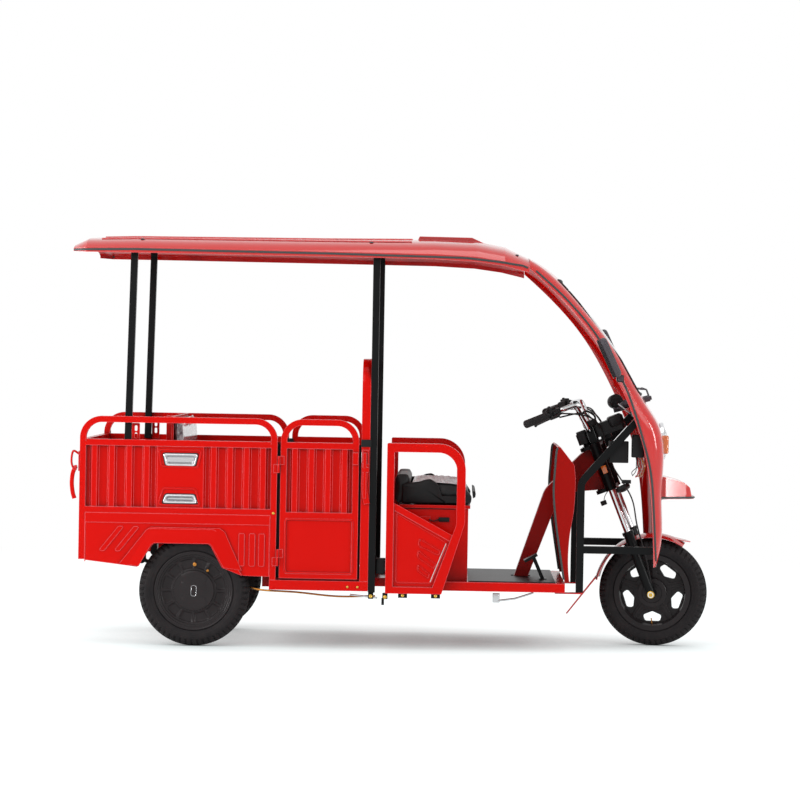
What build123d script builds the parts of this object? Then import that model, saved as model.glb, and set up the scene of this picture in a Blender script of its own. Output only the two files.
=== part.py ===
from build123d import *
import os
from math import cos, radians, sin

# Electric three-wheeled motorcycle with a passenger and load body and a canopy, in millimetres.
# X forwards, Y to the vehicle's left, Z up. The origin is on the floor under the middle of the vehicle.

os.makedirs("parts", exist_ok=True)

# ---------------------------------------------------------------- clearances and stock sizes
seat_gap = 0.3            # between a piece and what carries it
sheet = 1.5               # pressed steel sheet
moulding = 4.0            # wall of the moulded plastic shells
square_tube = 26.0        # body tube, seen from the side
tube_depth = 25.0         # body tube, across the vehicle
rail_height = 40.0        # chassis rails

# ---------------------------------------------------------------- wheels
tyre_radius = 232.5
tyre_width = 88.0
tread_half = 35.0
shoulder_radius = 221.0
sidewall_radius = 190.0
bead_radius = 152.4
bead_half = 34.0
rim_flange_radius = 165.0
rim_flange_width = 5.0
rim_wall = 9.0
wheelbase = 1954.0
front_axle_x = 1122.0
rear_axle_x = front_axle_x - wheelbase
axle_z = tyre_radius
front_drum_radius = 62.0
front_drum_half = 46.0
front_boss_radius = 20.0
front_web_half = 7.0
front_spokes = 5
opening_inner_radius = 84.0
opening_middle_radius = 109.0
opening_outer_radius = 131.0
opening_middle_angle = 22.0
opening_outer_angle = 14.0
opening_corner = 11.0
rear_disc_depth = 16.0    # the rear wheel's disc lies this far inside the flange
rear_disc_thickness = 6.0
rear_cap_radius = 85.0
rear_cap_height = 14.0
rear_pockets = 12
pocket_radius = 117.0
pocket_length = 26.0
pocket_width = 34.0
rear_hub_radius = 70.0
rear_hub_length = 52.0

# ---------------------------------------------------------------- axles
front_axle_radius = 7.5
rear_shaft_radius = 12.0
axle_tube_radius = 28.0
drive_radius = 92.0
drive_length = 250.0
spring_y = 270.0
spring_half = 235.0
spring_leaf = 22.0
spring_width = 50.0
spring_sag = 70.0

# ---------------------------------------------------------------- body
body_half_width = 460.0
rear_wheel_y = body_half_width - 60   # the rear tyres run just inside the arch skirts
body_rear_x = -1317.0
body_front_x = -488.0
rail_top_z = 864.0        # top of the body's upper rail
hoop_top_z = 961.0
hoop_corner = 92.0
floor_z = 513.0           # load floor
floor_lap_x = -985.0      # the rear sheet of the load floor ends here, a sheet's step lower than the front one
floor_lap_step = 1.0
lower_rail_z = 556.0      # underside of the rail below the corrugated sheet
lower_rail = 25.0
beam_bottom_z = 245.0
beam_top_z = 286.0
corrugation_pitch = 77.0
corrugation_depth = 10.0
ridge_half = 11.0
ridge_slope = 8.0
plain_rear_x = -999.0     # the plain panel between the corrugated bays
plain_front_x = -789.0
rear_rail_z = floor_z - rail_height
body_inner_y = body_half_width - tube_depth
panel_rear_x = body_rear_x + square_tube
panel_front_x = body_front_x - square_tube
sheet_valley_y = body_half_width - corrugation_depth - 4
plain_panel_y = sheet_valley_y + corrugation_depth
grip_bowl_x = -894.0      # two pressed bowls, one above the other, in the plain panel
grip_bowl_proud = 2.0
grip_bowl_depth = 14.0    # how far each bowl is sunk into the panel, and the slope of its walls
grip_bowl_slope = 25.0
grip_bowl_wide = 74.0     # half widths of a bowl's two ends
grip_bowl_narrow = 61.0
grip_bowl_heights = ((808.0, 757.0), (600.0, 637.0))   # (wide end, narrow end) of each bowl

# ---------------------------------------------------------------- wheel-arch skirt
skirt_band_z = 515.0
arch_top_z = 431.0
arch_rear_x = -1001.0
arch_front_x = -766.0
arch_rear_foot = (-1068.0, 331.0)
arch_front_foot = (-712.0, 333.0)
skirt_rear_z = 359.0
skirt_front_z = 299.0
skirt_proud = 4.0
arch_band = 62.0
arch_band_proud = 6.0
slant_ribs = (-1232.0, -1167.0)           # lower rear corner of each slanting rib
slant_rib_z = (396.0, 500.0)
slant_rib_lean = 82.0
upright_ribs = (-632.0, -588.0, -548.0)   # middle of each upright rib
upright_rib_z = (342.0, 478.0)
rib_width = 24.0
rib_proud = 3.0

# ---------------------------------------------------------------- side door
door_rear_x = -474.0
door_front_x = -146.0
door_bottom_z = 294.0
door_mid_z = 545.0
door_hinge_x = -481.0
hinge_radius = 5.0
hinge_length = 70.0
hinge_heights = (380.0, 770.0)
latch_z = 775.0

# ---------------------------------------------------------------- tailgate
gate_gap = 6.0
gate_bottom_z = 590.0
gate_hinge_z = 582.0
gate_thickness = 25.0
gate_hinge_x = body_rear_x - 7
gate_pin_radius = 6.0
plate_z = 455.0           # middle of the four number-plate holes
plate_spacing_y = 160.0
plate_spacing_z = 100.0
plate_hole_radius = 3.3

# ---------------------------------------------------------------- headboard and posts
headboard_x = -118.0
headboard_depth = 36.0
headboard_top_z = 1218.0
headboard_corner = 110.0
headboard_rail_z = 1040.0 # underside of the hoop's middle rail
post_size = 29.0
post_top_z = 1650.0
front_post_x = headboard_x + headboard_depth / 2 + seat_gap + post_size / 2
front_post_bottom_z = 240.0
rear_post_foot_x = -1119.0
rear_post_top_x = -1103.0
rear_post_bottom_z = 845.0
rear_post_y = body_half_width - tube_depth - post_size / 2 - seat_gap
front_post_y = body_half_width - post_size / 2
bracket_slot_radius = 5.5
bracket_slot_length = 24.0
bracket_slot_spacing = 30.0

# ---------------------------------------------------------------- passenger bench
bench_back_x = -930.0
bench_top_z = 970.0
bench_half = 400.0
bench_front_x = -560.0
bench_seat_thickness = 70.0
bench_upright_y = 240.0
bench_board_z = 700.0
bench_pad_bottom_z = 690.0
bench_pad_foot = 45.0     # thickness of the back pad below and above
bench_pad_head = 24.0

# ---------------------------------------------------------------- canopy and front shell
roof_front_x = 552.0
roof_rear_x = -(front_axle_x + tyre_radius) + 2.3   # as far back as the turned front wheel is forward
roof_half_width = 530.0
shell_top_half_width = 500.0
screen_half_width = 392.0
screen_bottom_z = 1088.0
screen_top_z = 1562.0
screen_thickness = 4.0
leg_inner_y = 235.0
leg_arch_z = 640.0
visor_half_width = 175.0
visor_tip_x = 1287.0
visor_edge_z = 641.0
hump_rear_x = 78.0        # raised panel of the canopy, over the driver
hump_front_x = 372.0
hump_half = 300.0
hump_height = 9.0
lamp_z = 872.0
lamp_radius = 86.0
lamp_face_x = 1152.0
turn_lamp_y = 205.0
mirror_right = (890.0, 1241.0)      # (X, Z) of each mirror's middle
mirror_left = (946.0, 1286.0)
mirror_y = 560.0
mirror_width = 110.0
mirror_height = 176.0
mirror_depth = 34.0
mirror_tilt = 25.0
wiper_wall = (1065.0, 1062.0)       # where the wiper's spindle passes the shell
wiper_tilt = 15.0
wiper_spindle_radius = 7.0
wiper_blade = (1062.0, 1106.0)      # (X, Z) of the blade
wiper_blade_y = (60.0, 320.0)
tail_lamp_y = (255.0, 405.0)
tail_lamp_z = (430.0, 490.0)
tail_lamp_depth = 6.0
turn_lamp_width = 52.0
turn_lamp_low = 36.0      # below and above the headlamp's middle
turn_lamp_high = 42.0

# Sections along X: half width, lower edge, top of the upright lip, crown.
roof_sections = (
    (roof_rear_x, 488.0, 1648.0, 1660.0, 1684.0),
    (-1296.0, 524.0, 1645.0, 1664.0, 1716.0),
    (-1104.0, roof_half_width, 1645.0, 1666.0, 1722.0),
    (-300.0, roof_half_width, 1641.0, 1662.0, 1726.0),
    (150.0, roof_half_width, 1638.0, 1659.0, 1731.0),
    (330.0, 527.0, 1630.0, 1651.0, 1727.0),
    (450.0, 518.0, 1614.0, 1634.0, 1704.0),
    (roof_front_x, shell_top_half_width, 1590.0, 1610.0, 1657.0),
)
# The centre line of the front, from the canopy down over the screen and the nose to the leg tips.
front_line = (
    (roof_front_x + 1, 1662), (666, 1593), (808, 1445), (951, 1258), (1033, 1114), (1085, 1030), (1128, 960),
    (1150, 870), (1150, 760), (1146, 640), (1150, 500), (1142, 420), (1126, 357),
)
# The rear edge of the pillars, nose sides and legs.
rear_edge = (
    (roof_front_x + 1, 1606), (683, 1487), (811, 1341), (923, 1158), (1001, 992), (1052, 839), (1083, 653),
    (1102, 357),
)
front_turn_x = -2100.0    # the front is turned about an upright axis here, which rounds it in plan
front_turn = 13.0         # and this far to each side
front_corner = 66.0       # rounding between the front and the sides
# Half width by height, from the canopy down.
width_line = ((shell_top_half_width, 1670), (478, 1480), (448, 1260), (430, 1060), (402, 850), (368, 620), (340, 350))

# ---------------------------------------------------------------- driver's place
deck_front_x = 727.0
deck_rear_x = -28.0
deck_z = 286.0
mat_thickness = 4.0
seat_base_front_x = 316.0
seat_base_rear_x = 32.0
seat_base_half_width = 330.0
seat_plate_z = 592.0
seat_plate_thickness = 14.0
guard_rear_x = -28.0
guard_front_x = 302.0
guard_top_z = 868.0
guard_bottom_z = 238.0
guard_tube = 34.0
guard_foot_x = 208.0      # front end of the guard's foot
guard_elbow_z = 536.0
guard_panel_top_z = 600.0
guard_depth = 30.0
deck_half_width = body_half_width - guard_depth - 35   # the guards stand clear of the deck's edge
down_tube_half = 27.0
down_tube_foot_x = 548.0
shield_half = 330.0
# The leg shield seen from the side: its open rear edge and its front face, from the top down to the deck.
shield_rear = ((690, 862), (683, 837), (678, 761), (674, 700), (676, 634), (691, 508))
shield_front = ((702, 858), (760, 785), (766, 717), (764, 632), (762, 600), (748, 505),
                (743, 455), (748, deck_z + sheet + seat_gap))
cushion_rear_x = 69.0
cushion_front_x = 341.0
# The driver's cushion seen from the side, over its front lip and back along its top: X, Z and corner radius.
cushion_top = ((cushion_front_x, 643, 8), (300, 688, 16), (240, 694, 20), (200, 700, 20), (cushion_rear_x, 696, 12))
roll_thickness = 64.0
roll_top_z = 741.0
pedal_y = -200.0
pedal_foot = (622.0, 654.0, 40.0)   # rear edge, front edge and width of the pedal's bracket

# ---------------------------------------------------------------- steering
rake = 21.8
fork_offset = 40.0        # the steering axis lies this far behind the fork legs
steer_rest = -9.0         # the steering is turned this far, to the vehicle's right
fork_half = 85.0
slider_radius = 21.5
slider_top = 288.0
stanchion_radius = 14.0
shroud_radius = 25.0
shroud_bottom = 480.0
yoke_top = 690.0
yoke_plate = 15.0
stem_radius = 17.0
head_tube_radius = 27.0
head_tube_bore = 20.0
bar_radius = 11.0
bar_height = 752.0
bar_half = 345.0
# Points of the left half of the bar: forward from the legs, to the left, up the fork.
bar_end = (-210.0, bar_half, 880.0)
bar_bend = (-50.0, 215.0, 880.0)
bar_rise = (-12.0, 128.0, 878.0)
bar_foot = (-3.0, 62.0, bar_height)
riser_inner_y = 16.0
riser_outer_y = 38.0
riser_top = bar_height + 14
dash_rear = 18.0          # the instrument, ahead of the bar
dash_front = 145.0
dash_half = 46.0
dash_low = 709.0
dash_high = 765.0
grip_radius = 16.5
grip_length = 118.0
mudguard_radius = 256.0
mudguard_wall = 2.5
mudguard_half = fork_half - slider_radius - seat_gap
mudguard_start = 168.0
mudguard_sweep = 110.0
mudguard_tip = (1281.0, 456.0)      # (X, Z) of the beak at the mudguard's front end

# ---------------------------------------------------------------- front subframe
subframe_tube = 31.0
subframe_y = 305.0
subframe_x = 791.0
subframe_bend_z = 712.0
subframe_bar_z = 427.0
subframe_bar_x = 1094.0
subframe_top_x = 1045.0
subframe_top_z = 1000.0
subframe_joint = (846.0, 691.0)   # (X, Z) on the plane, square to the tube in its bend, where stays and uprights meet
subframe_joint_lean = 20.7        # half of the bend


# ================================================================ shared helpers
def export(shape, name):
    """Label one finished piece and write its file."""
    shape.label = name
    export_step(shape, f"parts/{name}.step")


def export_pair(right_shape, name):
    """Write the vehicle's right-hand piece and its mirror image on the left."""
    export(right_shape, f"{name}_right")
    export(mirror(right_shape, about=Plane.XZ, mode=Mode.PRIVATE), f"{name}_left")


def both_sides(right_shape):
    """The vehicle's right-hand piece together with its mirror image on the left."""
    with BuildPart() as pair:
        add(right_shape)
        mirror(right_shape, about=Plane.XZ)
    return pair.part


def block(x_from, x_to, y_from, y_to, z_from, z_to, mode=Mode.ADD):
    """A square-cut block between two corners, put into the part being built."""
    with Locations(((x_from + x_to) / 2, (y_from + y_to) / 2, (z_from + z_to) / 2)):
        Box(x_to - x_from, y_to - y_from, z_to - z_from, mode=mode)


def outline(*corners):
    """A closed face from (across, up, corner radius) corners."""
    with BuildSketch() as face:
        with BuildLine():
            points = [(across, up) for across, up, _ in corners]
            FilletPolyline(*points, radius=[radius for *_, radius in corners], close=True)
        make_face()
    return face.sketch_local


def side_plane(y):
    """The plane at the vehicle's right, y out from the middle, seen from the right."""
    return Plane.XZ.offset(y)


def round_tube(points, radii, radius):
    """A round bar along straight runs joined by bends."""
    with BuildPart() as piece:
        with BuildLine() as route:
            FilletPolyline(*points, radius=radii)
        with BuildSketch(Plane(origin=route.line @ 0, z_dir=route.line % 0)):
            Circle(radius)
        sweep()
    return piece.part


def wheel_axis(x, y):
    return Axis((x, y, axle_z), (0, 1, 0))


def wheel_section(x, y, angle=90.0):
    """A plane through a wheel's axis: across is Y, up is outwards at the angle given."""
    outward = radians(angle)
    return Plane(origin=(x, y, axle_z), x_dir=(0, 1, 0), z_dir=(sin(outward), 0, -cos(outward)))


# ================================================================ wheels
def tyre(x, y):
    with BuildPart() as piece:
        with BuildSketch(wheel_section(x, y)):
            with BuildLine():
                bead_right = (bead_half, bead_radius)
                bead_left = (-bead_half, bead_radius)
                flange_right = (bead_half, rim_flange_radius + 1)
                flange_left = (-bead_half, rim_flange_radius + 1)
                shoulder_right = (tread_half, shoulder_radius)
                shoulder_left = (-tread_half, shoulder_radius)
                Line(bead_left, bead_right)
                Line(bead_right, flange_right)
                ThreePointArc(flange_right, (tyre_width / 2, sidewall_radius), shoulder_right)
                ThreePointArc(shoulder_right, (0, tyre_radius), shoulder_left)
                ThreePointArc(shoulder_left, (-tyre_width / 2, sidewall_radius), flange_left)
                Line(flange_left, bead_left)
            make_face()
        revolve(axis=wheel_axis(x, y))
    return piece.part


def rim_barrel(x, y):
    """The rolled ring that carries the tyre, with a flange at each side."""
    well = bead_radius - seat_gap
    inside = well - rim_wall
    lip = bead_half + seat_gap
    edge = lip + rim_flange_width
    with BuildPart() as piece:
        with BuildSketch(wheel_section(x, y)):
            with BuildLine():
                Polyline(
                    (-edge, inside), (-edge, rim_flange_radius), (-lip, rim_flange_radius), (-lip, well),
                    (lip, well), (lip, rim_flange_radius), (edge, rim_flange_radius), (edge, inside),
                    close=True,
                )
            make_face()
        revolve(axis=wheel_axis(x, y))
    return piece.part


def wheel_cylinder(x, y, radius, length, mode=Mode.ADD):
    """A cylinder on a wheel's axis, centred at y."""
    with Locations(Location((x, y, axle_z), (90, 0, 0))):
        Cylinder(radius, length, mode=mode)


def spoke_opening():
    """The five-sided opening between two spokes, on the sketch's +X side."""
    middle = radians(opening_middle_angle)
    outer = radians(opening_outer_angle)
    middle_x, middle_y = opening_middle_radius * cos(middle), opening_middle_radius * sin(middle)
    outer_x, outer_y = opening_outer_radius * cos(outer), opening_outer_radius * sin(outer)
    return outline(
        (opening_inner_radius, 0, opening_corner),
        (middle_x, -middle_y, opening_corner),
        (outer_x, -outer_y, opening_corner),
        (outer_x, outer_y, opening_corner),
        (middle_x, middle_y, opening_corner),
    )


def front_rim():
    x, y = front_axle_x, 0.0
    web_radius = bead_radius - seat_gap - rim_wall + 1
    with BuildPart() as piece:
        add(rim_barrel(x, y))
        with BuildSketch(Plane(origin=(x, front_web_half, axle_z), x_dir=(1, 0, 0), z_dir=(0, -1, 0))):
            Circle(web_radius)
            with PolarLocations(0, front_spokes, start_angle=-90):
                add(spoke_opening(), mode=Mode.SUBTRACT)
        extrude(amount=2 * front_web_half)
        wheel_cylinder(x, y, front_drum_radius, 2 * front_drum_half)
        wheel_cylinder(x, y, front_boss_radius, 2 * (fork_half - slider_radius - seat_gap))
        wheel_cylinder(x, y, front_axle_radius + seat_gap, 2 * fork_half, mode=Mode.SUBTRACT)
    return piece.part


def rear_rim(y):
    """Right rear wheel: a dished disc with a ring of pressed pockets and a hub cap."""
    x = rear_axle_x
    outer_face = y - bead_half - seat_gap - rim_flange_width + rear_disc_depth
    disc_radius = bead_radius - seat_gap - rim_wall + 1
    with BuildPart() as piece:
        add(rim_barrel(x, y))
        with Locations(Location((x, outer_face + rear_disc_thickness / 2, axle_z), (90, 0, 0))):
            Cylinder(disc_radius, rear_disc_thickness)
        with Locations(Location((x, outer_face, axle_z), (90, 0, 0))):
            Cylinder(rear_cap_radius, 2 * rear_cap_height)
        with Locations(Location((x, outer_face + rear_hub_length / 2, axle_z), (90, 0, 0))):
            Cylinder(rear_hub_radius, rear_hub_length)
        with BuildSketch(Plane(origin=(x, outer_face + 1, axle_z), x_dir=(1, 0, 0), z_dir=(0, -1, 0))):
            with PolarLocations(pocket_radius, rear_pockets):
                RectangleRounded(pocket_length, pocket_width, 6)
        extrude(amount=1 + rear_cap_height / 2)
        bore = rear_shaft_radius + seat_gap
        with Locations(Location((x, outer_face + rear_hub_length, axle_z), (90, 0, 0))):
            Cylinder(bore, 2 * (rear_hub_length - 6), mode=Mode.SUBTRACT)
    return piece.part


# ================================================================ rear axle and springs
def rear_axle():
    """Axle tube with the drive unit as one plain block, brake drums and the wheel shafts."""
    x = rear_axle_x
    shaft_end = rear_wheel_y + bead_half + rim_flange_width - rear_disc_depth - rear_disc_thickness - 1
    drum_inner = rear_wheel_y + bead_half - rear_disc_depth - rear_hub_length - 40
    with BuildPart() as piece:
        wheel_cylinder(x, 0, axle_tube_radius, 2 * drum_inner)
        wheel_cylinder(x, 0, drive_radius, drive_length)
        wheel_cylinder(x, 0, rear_shaft_radius, 2 * (shaft_end - 8))
        for side in (-1, 1):
            wheel_cylinder(x, side * (drum_inner + 4), rear_hub_radius, 20)
            block(
                x - spring_width / 2, x + spring_width / 2,
                side * spring_y - spring_width / 2, side * spring_y + spring_width / 2,
                axle_z, axle_z + axle_tube_radius + 8,
            )
    return piece.part


def leaf_spring():
    """Right-hand leaf spring: an arched pack with rolled eyes and its two hangers."""
    bottom = axle_z + axle_tube_radius + 8 + seat_gap
    low = bottom + spring_leaf / 2
    eye_z = low + spring_sag
    half = spring_half
    with BuildPart() as piece:
        with BuildSketch(side_plane(spring_y + spring_width / 2)):
            with BuildLine():
                middle = rear_axle_x
                half_leaf = spring_leaf / 2
                Line((middle - spring_width / 2, bottom), (middle + spring_width / 2, bottom))
                Line((middle + spring_width / 2, bottom), (middle + half, eye_z - half_leaf / 2))
                Line((middle + half, eye_z - half_leaf / 2), (middle + half, eye_z + half_leaf / 2))
                Line((middle + half, eye_z + half_leaf / 2), (middle + spring_width / 2, low + half_leaf))
                Line((middle + spring_width / 2, low + half_leaf), (middle - spring_width / 2, low + half_leaf))
                Line((middle - spring_width / 2, low + half_leaf), (middle - half, eye_z + half_leaf / 2))
                Line((middle - half, eye_z + half_leaf / 2), (middle - half, eye_z - half_leaf / 2))
                Line((middle - half, eye_z - half_leaf / 2), (middle - spring_width / 2, bottom))
            make_face()
        extrude(amount=-spring_width)
        for end in (-1, 1):
            eye_x = rear_axle_x + end * half
            with Locations(Location((eye_x, -spring_y, eye_z), (90, 0, 0))):
                Cylinder(16, spring_width)
            block(
                eye_x - 14, eye_x + 14,
                -spring_y - spring_width / 2 - 5, -spring_y + spring_width / 2 + 5,
                eye_z, rear_rail_z - seat_gap,
            )
    return piece.part


# ================================================================ chassis
def main_frame():
    """Welded rails: the body's base, the deck's base, and the raised rails under the load floor."""
    outer = body_half_width
    with BuildPart() as piece:
        for side in (-1, 1):
            for y_middle, x_from, x_to, z_from, z_to in (
                (outer - rail_height / 2, body_front_x - square_tube - 1, headboard_x + headboard_depth / 2 - 1,
                 beam_bottom_z, beam_top_z),
                (deck_half_width - rail_height / 2, deck_rear_x, deck_front_x, beam_bottom_z + 4, deck_z),
                (200, body_front_x - square_tube - 1, deck_front_x - rail_height, beam_bottom_z + 4, deck_z),
                (spring_y, body_rear_x + square_tube, body_front_x - square_tube, rear_rail_z, floor_z),
            ):
                y_from, y_to = side * y_middle - rail_height / 2, side * y_middle + rail_height / 2
                block(x_from, x_to, y_from, y_to, z_from, z_to)
            block(
                body_front_x - square_tube - rail_height, body_front_x - square_tube,
                side * spring_y - rail_height / 2, side * spring_y + rail_height / 2,
                beam_bottom_z, floor_z,
            )
            block(
                subframe_x - 66, subframe_x + subframe_tube / 2,
                side * subframe_y - subframe_tube / 2, side * subframe_y + subframe_tube / 2,
                beam_bottom_z - 6, beam_bottom_z,
            )
            block(
                deck_front_x - rail_height, deck_front_x,
                side * subframe_y - subframe_tube / 2, side * subframe_y + subframe_tube / 2,
                beam_bottom_z - 6, beam_bottom_z + 10,
            )
        for x_from, y_half in (
            (body_front_x - square_tube - 1, outer),
            (-310, outer),
            (headboard_x + headboard_depth / 2 - rail_height, outer),
            (deck_rear_x, deck_half_width),
            (150, deck_half_width),
            (deck_front_x - rail_height, deck_half_width),
        ):
            block(x_from, x_from + rail_height, -y_half, y_half, beam_bottom_z + 4, deck_z)
        for x_from in (body_rear_x + square_tube, rear_axle_x - 130, rear_axle_x + 100):
            block(x_from, x_from + rail_height, -outer + tube_depth + 1, outer - tube_depth - 1, rear_rail_z, floor_z)
        for x_from in (guard_rear_x + 20, 165):
            block(
                x_from, x_from + 24, -(outer - guard_depth - seat_gap), outer - guard_depth - seat_gap,
                beam_bottom_z + 4, beam_bottom_z + 30,
            )
        block(headboard_x, deck_rear_x + 10, -220, 220, beam_bottom_z + 4, beam_bottom_z + 30)
    return piece.part


# ================================================================ body panels
def corrugation(start, end):
    """Points (along, out) of a run of trapezoid ridges between two ends, in whole pitches."""
    ridges = round((end - start) / corrugation_pitch)
    pitch = (end - start) / ridges
    points = [(start, 0)]
    for ridge in range(ridges):
        middle = start + (ridge + 0.5) * pitch
        points += [
            (middle - ridge_half - ridge_slope, 0),
            (middle - ridge_half, corrugation_depth),
            (middle + ridge_half, corrugation_depth),
            (middle + ridge_half + ridge_slope, 0),
        ]
    return points + [(end, 0)]


def folded_sheet(plane, line, height):
    """A sheet standing on the line given, which runs along the plane's X with its folds towards its Y."""
    with BuildPart() as piece:
        with BuildSketch(plane):
            with BuildLine():
                Polyline(*line, *[(along, out - sheet) for along, out in reversed(line)], close=True)
            make_face()
        extrude(amount=height)
    return piece.part


def right_wall_plane(z):
    """Across is X, up is outwards from the right-hand wall; an extrusion of minus its height rises."""
    return Plane(origin=(0, -sheet_valley_y, z), x_dir=(1, 0, 0), z_dir=(0, 0, -1))


def hinge_half(door_side):
    """One half of each door hinge on the right-hand side: the door's upper barrel or the body's lower one."""
    leaf_from, leaf_to = door_hinge_x - 22, door_hinge_x
    barrel_from, barrel_to = -hinge_length / 2, 0
    if door_side:
        leaf_from, leaf_to = door_hinge_x, door_hinge_x + 22
        barrel_from, barrel_to = seat_gap, hinge_length / 2
    with BuildPart() as piece:
        for height in hinge_heights:
            z_from, z_to = height + barrel_from, height + barrel_to
            block(leaf_from, leaf_to, -body_half_width - 2.5, -body_half_width, z_from, z_to)
            with Locations((door_hinge_x, -body_half_width - hinge_radius, (z_from + z_to) / 2)):
                Cylinder(hinge_radius, z_to - z_from)
    return piece.part


def side_panel():
    """Right-hand body side: hoop rail, upper and lower rail, corrugated sheet with its plain panel."""
    hoop = outline(
        (body_rear_x, skirt_rear_z, 0),
        (body_rear_x, hoop_top_z, hoop_corner),
        (body_front_x, hoop_top_z, hoop_corner),
        (body_front_x, beam_top_z, 0),
        (panel_front_x, beam_top_z, 0),
        (panel_front_x, hoop_top_z - square_tube, hoop_corner - square_tube),
        (panel_rear_x, hoop_top_z - square_tube, hoop_corner - square_tube),
        (panel_rear_x, skirt_rear_z, 0),
    )
    line = (
        corrugation(panel_rear_x - 1, plain_rear_x)
        + [(plain_rear_x + ridge_slope, corrugation_depth), (plain_front_x - ridge_slope, corrugation_depth)]
        + corrugation(plain_front_x, panel_front_x + 1)
    )
    sheet_bottom = lower_rail_z + lower_rail - 1
    sheet_height = rail_top_z - square_tube + 1 - sheet_bottom
    with BuildPart() as piece:
        with BuildSketch(side_plane(body_half_width)):
            add(hoop)
        extrude(amount=-tube_depth)
        for z_from, z_to in ((rail_top_z - square_tube, rail_top_z), (lower_rail_z, lower_rail_z + lower_rail)):
            block(panel_rear_x - 1, panel_front_x + 1, -body_half_width, -body_inner_y, z_from, z_to)
        add(folded_sheet(right_wall_plane(sheet_bottom), line, -sheet_height))
        with BuildSketch(side_plane(body_half_width)):
            add(bowl_faces(6 - seat_gap))
        extrude(amount=-tube_depth, mode=Mode.SUBTRACT)
        add(hinge_half(door_side=False))
    return piece.part


def bowl_faces(margin):
    """Both trapezoid bowl outlines of one side, narrow ends towards each other, drawn in by margin."""
    wide, narrow = grip_bowl_wide - margin, grip_bowl_narrow - margin
    with BuildSketch() as faces:
        for wide_z, narrow_z in grip_bowl_heights:
            inward = margin if narrow_z > wide_z else -margin
            add(outline(
                (grip_bowl_x - wide, wide_z + inward, 9), (grip_bowl_x + wide, wide_z + inward, 9),
                (grip_bowl_x + narrow, narrow_z - inward, 12), (grip_bowl_x - narrow, narrow_z - inward, 12),
            ))
    return faces.sketch_local


def grip_bowls():
    """Right-hand pair of pressed bowls: a rim on the plain panel and a sunken dish with sloping walls."""
    rim_y = plain_panel_y + seat_gap
    floor_y = plain_panel_y - grip_bowl_depth
    with BuildPart() as piece:
        with BuildSketch(side_plane(rim_y)):
            add(bowl_faces(0))
        extrude(amount=grip_bowl_proud)
        with BuildSketch(side_plane(rim_y)):
            add(bowl_faces(6))
        extrude(amount=floor_y - sheet - rim_y, taper=grip_bowl_slope)
        with BuildSketch(side_plane(rim_y + grip_bowl_proud)):
            add(bowl_faces(8))
        extrude(amount=floor_y - rim_y - grip_bowl_proud, taper=grip_bowl_slope, mode=Mode.SUBTRACT)
    return piece.part


def skirt():
    """Right-hand wheel-arch skirt with its raised band and pressed ribs."""
    rear_x, front_x = panel_rear_x + seat_gap, panel_front_x - seat_gap
    top = lower_rail_z - seat_gap
    band_top = arch_top_z + arch_band
    rear_foot_x, rear_foot_z = arch_rear_foot
    front_foot_x, front_foot_z = arch_front_foot
    edge = outline(
        (rear_x, top, 0), (rear_x, skirt_rear_z - 3, 0), (rear_foot_x, rear_foot_z, 0),
        (arch_rear_x, arch_top_z, 24), (arch_front_x, arch_top_z, 24), (front_foot_x, front_foot_z, 12),
        (front_foot_x + 88, skirt_front_z + 2, 12), (front_x, skirt_front_z, 0), (front_x, top, 0),
    )
    band = outline(
        (rear_foot_x, rear_foot_z, 0), (arch_rear_x, arch_top_z, 24), (arch_front_x, arch_top_z, 24),
        (front_foot_x, front_foot_z, 12), (front_foot_x + 84, skirt_front_z + 2, 0),
        (arch_front_x + 24, band_top, 26), (arch_rear_x - 26, band_top, 26),
        (rear_foot_x - 78, rear_foot_z + 9, 0),
    )
    with BuildPart() as piece:
        with BuildSketch(side_plane(body_half_width)):
            add(edge)
        extrude(amount=-skirt_proud)
        with BuildSketch(side_plane(body_half_width)):
            add(band)
        extrude(amount=arch_band_proud)
        with BuildSketch(side_plane(body_half_width)):
            low, high = slant_rib_z
            for x in slant_ribs:
                add(outline(
                    (x, low, 5), (x + slant_rib_lean, high, 5), (x + slant_rib_lean + rib_width, high, 5),
                    (x + rib_width, low, 5),
                ))
            low, high = upright_rib_z
            half = rib_width / 2
            for x in upright_ribs:
                add(outline((x - half, low, 5), (x + half, low, 5), (x + half, high, 5), (x - half, high, 5)))
        extrude(amount=rib_proud)
        with BuildSketch(side_plane(body_half_width)):
            add(outline((rear_x, skirt_band_z, 0), (front_x, skirt_band_z, 0), (front_x, top, 0), (rear_x, top, 0)))
        extrude(amount=2)
    return piece.part


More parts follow.
